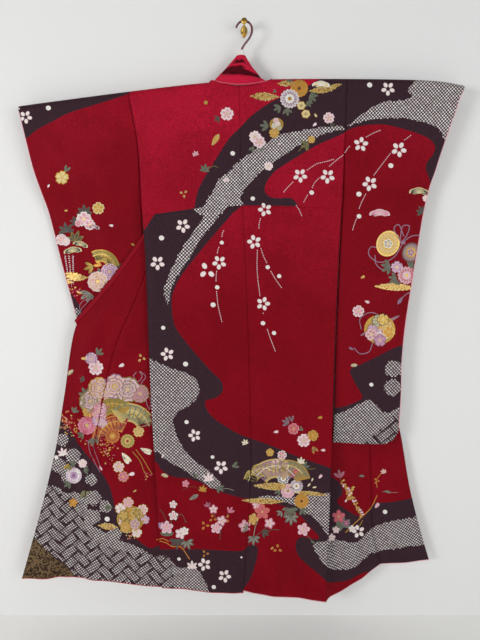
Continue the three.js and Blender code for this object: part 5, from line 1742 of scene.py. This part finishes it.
# every piece of cloth that can carry a motif, as one surface for the rays to meet
def clothTree(pieces):
    points, faces, owner = [], [], []
    for n, piece in enumerate(pieces):
        start, mesh = len(points), piece.data
        points += [v.co.copy() for v in mesh.vertices]
        faces += [[k + start for k in p.vertices] for p in mesh.polygons]
        owner += [n] * len(mesh.polygons)
    return BVHTree.FromPolygons(points, faces), owner


# an outline as rings around its centre: places, each one's share of the way out, and faces
def ringsOf(centre, outline):
    count, rings = len(outline), max(1, math.ceil(np.max(np.hypot(*outline.T)) / laying["ring"]))
    places, shares, faces = [centre], [0.0], []
    for r in range(1, rings + 1):
        places += list(centre + outline * (r / rings))
        shares += [r / rings] * count
        outer = 1 + (r - 1) * count
        inner = outer - count
        for k in range(count):
            n = (k + 1) % count
            faces.append([0, outer + k, outer + n] if r == 1 else [inner + k, outer + k, outer + n, inner + n])
    return places, shares, faces


# a motif runs on over the seams inside its own part of the garment, and stops at that part's edge
def layMotifs(pieces, parts):
    tree, owner = clothTree(pieces)
    camera = Vector(view["place"])
    laid = [{"points": [], "faces": [], "ink": [], "gilt": []} for _ in pieces]
    for order, (shapes, part) in enumerate(readMotifs(), 1):
        over = laying["turn"] * (order % laying["turns"])
        for centre, outline, *tones, level in shapes:
            places, shares, faces = ringsOf(centre, outline)
            hits = [tree.ray_cast(camera, throughPicture(*place)) for place in places]
            if hits[0][0] is None and part == "any":
                continue
            keptTo = parts[owner[hits[0][2]]] if part == "any" else part
            lift = (laying["gap"] + laying["layer"] * level + over) / 1000
            inner, outer = (np.array(colourOf(*ink[tone])) for tone in tones)
            innerGilt, outerGilt = (gilded.get(tone, 0) for tone in tones)
            at = {}
            for k, (place, normal, face, _) in enumerate(hits):
                if place is None or parts[owner[face]] != keptTo:
                    continue
                away = normal if normal.dot(camera - place) > 0 else -normal
                held = laid[owner[face]]
                at[k] = (owner[face], len(held["points"]))
                held["points"].append(tuple((place + away * lift) * 1000))
                held["ink"].append(inner + (outer - inner) * shares[k] ** laying["fade"])
                held["gilt"].append(innerGilt * (1 - shares[k]) + outerGilt * shares[k])
            for face in faces:
                found = [at[p] for p in face if p in at]
                if len(found) == len(face) and len({n for n, _ in found}) == 1:
                    laid[found[0][0]]["faces"].append([p for _, p in found])
    for piece, held in zip(pieces, laid):
        if held["faces"]:
            made = makeMesh(piece.name.replace("silk", "motifs"), held["points"], held["faces"], [inks])
            colours = made.data.color_attributes.new("ink", "FLOAT_COLOR", "POINT")
            colours.data.foreach_set("color", np.ravel(held["ink"]).astype(np.float32))
            keepVectors(made, "gilt", held["gilt"], 0, 0)
            trims[piece.name].append(addTrim(made))
            yield len(held["faces"])


# fine edgings, red along the left side's hem and rose along the right side's and the sleeves
edging = {"hem": 2.7, "sleeve": 1.7, "spacing": 9, "hemLength": 300, "sleeveLength": 1000, "corners": 6}
trims = {made.name: [] for made, _ in hung}
trims[neckCollar.name].append(neckRim)


def edgeCloth(piece, paths, radius, finish):
    tubes = [makeTube(path, radius, edging["corners"]) for path in paths]
    trims[piece.name].append(addTrim(joinParts(piece.name.replace("silk", "edging"), tubes, finish)))


for side, hemFinish in (("left", hemRed), ("right", edgeRose)):
    u, v = (placesAlong(edging[name], edging["spacing"]) for name in ("hemLength", "sleeveLength"))
    hems = zip((backs[side], *fronts[side][:2]), (backPoint, frontPoint, overlapPoint))
    for piece, pointAt in hems:
        edgeCloth(piece, [pointAt(side, u, np.ones_like(u))], edging["hem"], hemFinish)
    rims = [sleevePoint(side, np.full_like(v, face), np.ones_like(v), v) for face in (1.0, -1.0)]
    edgeCloth(sleeves[side], rims, edging["sleeve"], edgeRose)

carriers = {"back": backs.values(), "sleeveLeft": [sleeves["left"]], "sleeveRight": [sleeves["right"]]}
carriers |= {"frontLeft": fronts["left"][:2], "frontRight": fronts["right"][:2]}
carriers["band"] = [fronts[side][2] for side in bothSides]
parts = [part for part, pieces in carriers.items() for _ in pieces]
faceCounts = list(layMotifs([piece for pieces in carriers.values() for piece in pieces], parts))
for made, cut in hung:
    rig.sheet(made, with_pieces=trims[made.name], **cut)
print("motifs laid:", sum(faceCounts), "faces")


# hanger and wall hook
hanger = {
    "stemX": -6,
    "rodRadius": 3.1,
    "line": [
        (-6, -94.4), (-6, -78), (-6, -63), (2, -50), (15, -34), (22, -18), (21, -3),
        (12, 8), (0, 11.2), (-11, 8.5),
        (-19, 1), (-23, -8),
    ],
    "linePlaces": 90,
    "tipPlaces": 6,
    "postFoot": -149.7,
    "postLength": 84,
    "postRadius": 6.5,
    "socket": 29,
    "boreGap": 0.25,
}
wallHook = {
    "width": 20,
    "height": 34,
    "depth": 3,
    "narrowing": 0.45,
    "plate": [(0.01, 0), (1, 0), (1, 0.4), (0.93, 0.8), (0.8, 1), (0.01, 1)],
    "arm": [(-1.5, -6), (-14, -6), (-30, 0), (-41, 4.1), (-48, 5.6), (-54, 9.5), (-57, 15)],
    "armRadius": 2.6,
    "shell": [(0.01, 3.4), (2, 3.2), (4, 2.7), (6, 1.9), (8, 0.8), (8.7, 0), (7, -1), (0.01, -1.6)],
    "shellPlace": (0, -57, 6.5),
    "screw": [(0.01, 0), (2.4, 0), (2.3, 0.5), (1.2, 1.0), (0.01, 1.1)],
    "screwHeights": (11, -13),
}


def moved(part, *way):
    return part[0] + np.array(way, float), part[1]


# turns a lathed part's axis from up to towards the room
def standing(part):
    x, y, z = part[0].T
    return np.stack([x, -z, y], axis=1), part[1]


def finishPart(name, parts, material, node, slot):
    made = addTrim(joinParts(name, parts, material), slot)
    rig.replaces(made, node)


def makeHanger():
    points = np.array([(x, cloth["poleY"], z) for x, z in hanger["line"]], float)
    points = alongLine(points, np.linspace(0, 1, hanger["linePlaces"]))
    radii = np.full(len(points), hanger["rodRadius"])
    radii[-hanger["tipPlaces"] :] *= np.sqrt(1 - np.linspace(0, 0.96, hanger["tipPlaces"]) ** 2)
    finishPart("rod_hook", [makeTube(points, radii, 20)], rod, "hanger_hook", "hanger_rod")
    r, length, bore = hanger["postRadius"], hanger["postLength"], hanger["rodRadius"] + hanger["boreGap"]
    deep = length - hanger["socket"]
    profile = [
        (0.01, 0), (r - 0.6, 0), (r, 0.8), (r, length - 9), (r - 0.5, length - 6), (bore + 1.6, length - 0.5),
    ]
    profile += [(bore + 1, length), (bore + 0.3, length), (bore, length - 0.6), (bore, deep), (0.01, deep)]
    post = moved(makeLathe(profile, 36), hanger["stemX"], cloth["poleY"], hanger["postFoot"])
    finishPart("socket_post", [post], plastic, "hanger_post", "hanger_plastic")


def makeWallHook():
    w, h, d = wallHook["width"] / 2, wallHook["height"] / 2, wallHook["depth"]
    points, faces = standing(makeLathe(wallHook["plate"], 48))
    points = points * np.array([w, d, h])
    points[:, 0] *= 1 - wallHook["narrowing"] * easeBetween(-points[:, 2], 0, h)
    arm = alongLine(np.array([(0, y, z) for y, z in wallHook["arm"]], float), np.linspace(0, 1, 40))
    tube = makeTube(arm, wallHook["armRadius"] * (1 + 0.35 * np.exp(-np.linspace(0, 6, 40))), 18)
    body, its = makeLathe(wallHook["shell"], 80)
    ribs = 0.05 * np.abs(np.cos(5.5 * np.arctan2(body[:, 1], body[:, 0]))) - 0.03
    shell = standing((body * (1 + ribs * np.hypot(*body[:, :2].T) / 5)[:, None], its))
    screw = standing(makeLathe(wallHook["screw"], 20))
    screws = [moved(screw, 0, -d, z) for z in wallHook["screwHeights"]]
    parts = [(points, faces), tube, moved(shell, *wallHook["shellPlace"])] + screws
    finishPart("brass_hook", parts, brass, "wall_hook", "wall_brass")


makeHanger()
makeWallHook()
for name in ("hanger_block", "hanger_pole_left", "hanger_pole_right"):
    materials = frame["nodes"][name].data.materials
    materials.clear()
    materials.append(plastic)
print("hanger and hook made")


# room
room = {"wall": 0.6, "floor": -1930, "half": 6000, "near": -7000, "top": 3000}
room["air"] = {"colour": (0.97, 0.985, 1, 1), "strength": 0.3}


def makeStage():
    wall, floor, half, near, top = (room[name] for name in ("wall", "floor", "half", "near", "top"))
    corner = [(-half, wall, floor), (half, wall, floor)]
    sheets = {
        "wall": (corner + [(half, wall, top), (-half, wall, top)], (232, 232, 231), 0.9),
        "floor": ([(-half, near, floor), (half, near, floor)] + corner[::-1], (246, 245, 242), 0.7),
    }
    for name, (corners, tone, roughness) in sheets.items():
        surface = {"Base Color": colourOf(*tone), "Roughness": roughness, "Specular IOR Level": 0.1}
        finish = Finish("plain_" + name, surface)
        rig.stage(makeMesh(name, corners, [[0, 1, 2, 3]], [finish.material], smooth=False))


def addLight(name, place, aim, size, power, colour):
    lamp = bpy.data.lights.new(name, "AREA")
    lamp.shape = "RECTANGLE"
    lamp.size, lamp.size_y = size
    lamp.energy = power
    lamp.color = colour
    made = bpy.data.objects.new(name, lamp)
    made.location = place
    made.rotation_euler = (Vector(aim) - Vector(place)).to_track_quat("-Z", "Y").to_euler()
    bpy.context.scene.collection.objects.link(made)


def lightRoom():
    world = bpy.data.worlds.new("room")
    world.use_nodes = True
    air = world.node_tree.nodes["Background"].inputs
    air["Color"].default_value = room["air"]["colour"]
    air["Strength"].default_value = room["air"]["strength"]
    bpy.context.scene.world = world
    bpy.context.scene.view_settings.view_transform = "Standard"
    addLight("window", (-2.1, -2.2, -0.5), (0.1, 0, -0.95), (0.9, 0.9), 37, (1, 0.995, 0.985))
    addLight("fill", (1.8, -2.6, -0.6), (0.1, 0, -0.9), (1.6, 1.6), 32, (0.98, 0.99, 1))
    addLight("ceiling", (-0.2, -1.3, 0.7), (-0.1, 0, -0.4), (0.8, 0.4), 1.6, (1, 0.98, 0.95))


makeStage()
lightRoom()
print("room lit")

with open("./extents.json", "w") as record:
    json.dump({"cad": [list(p) for p in cadBox], "visual": [list(p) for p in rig.bounds()]}, record)
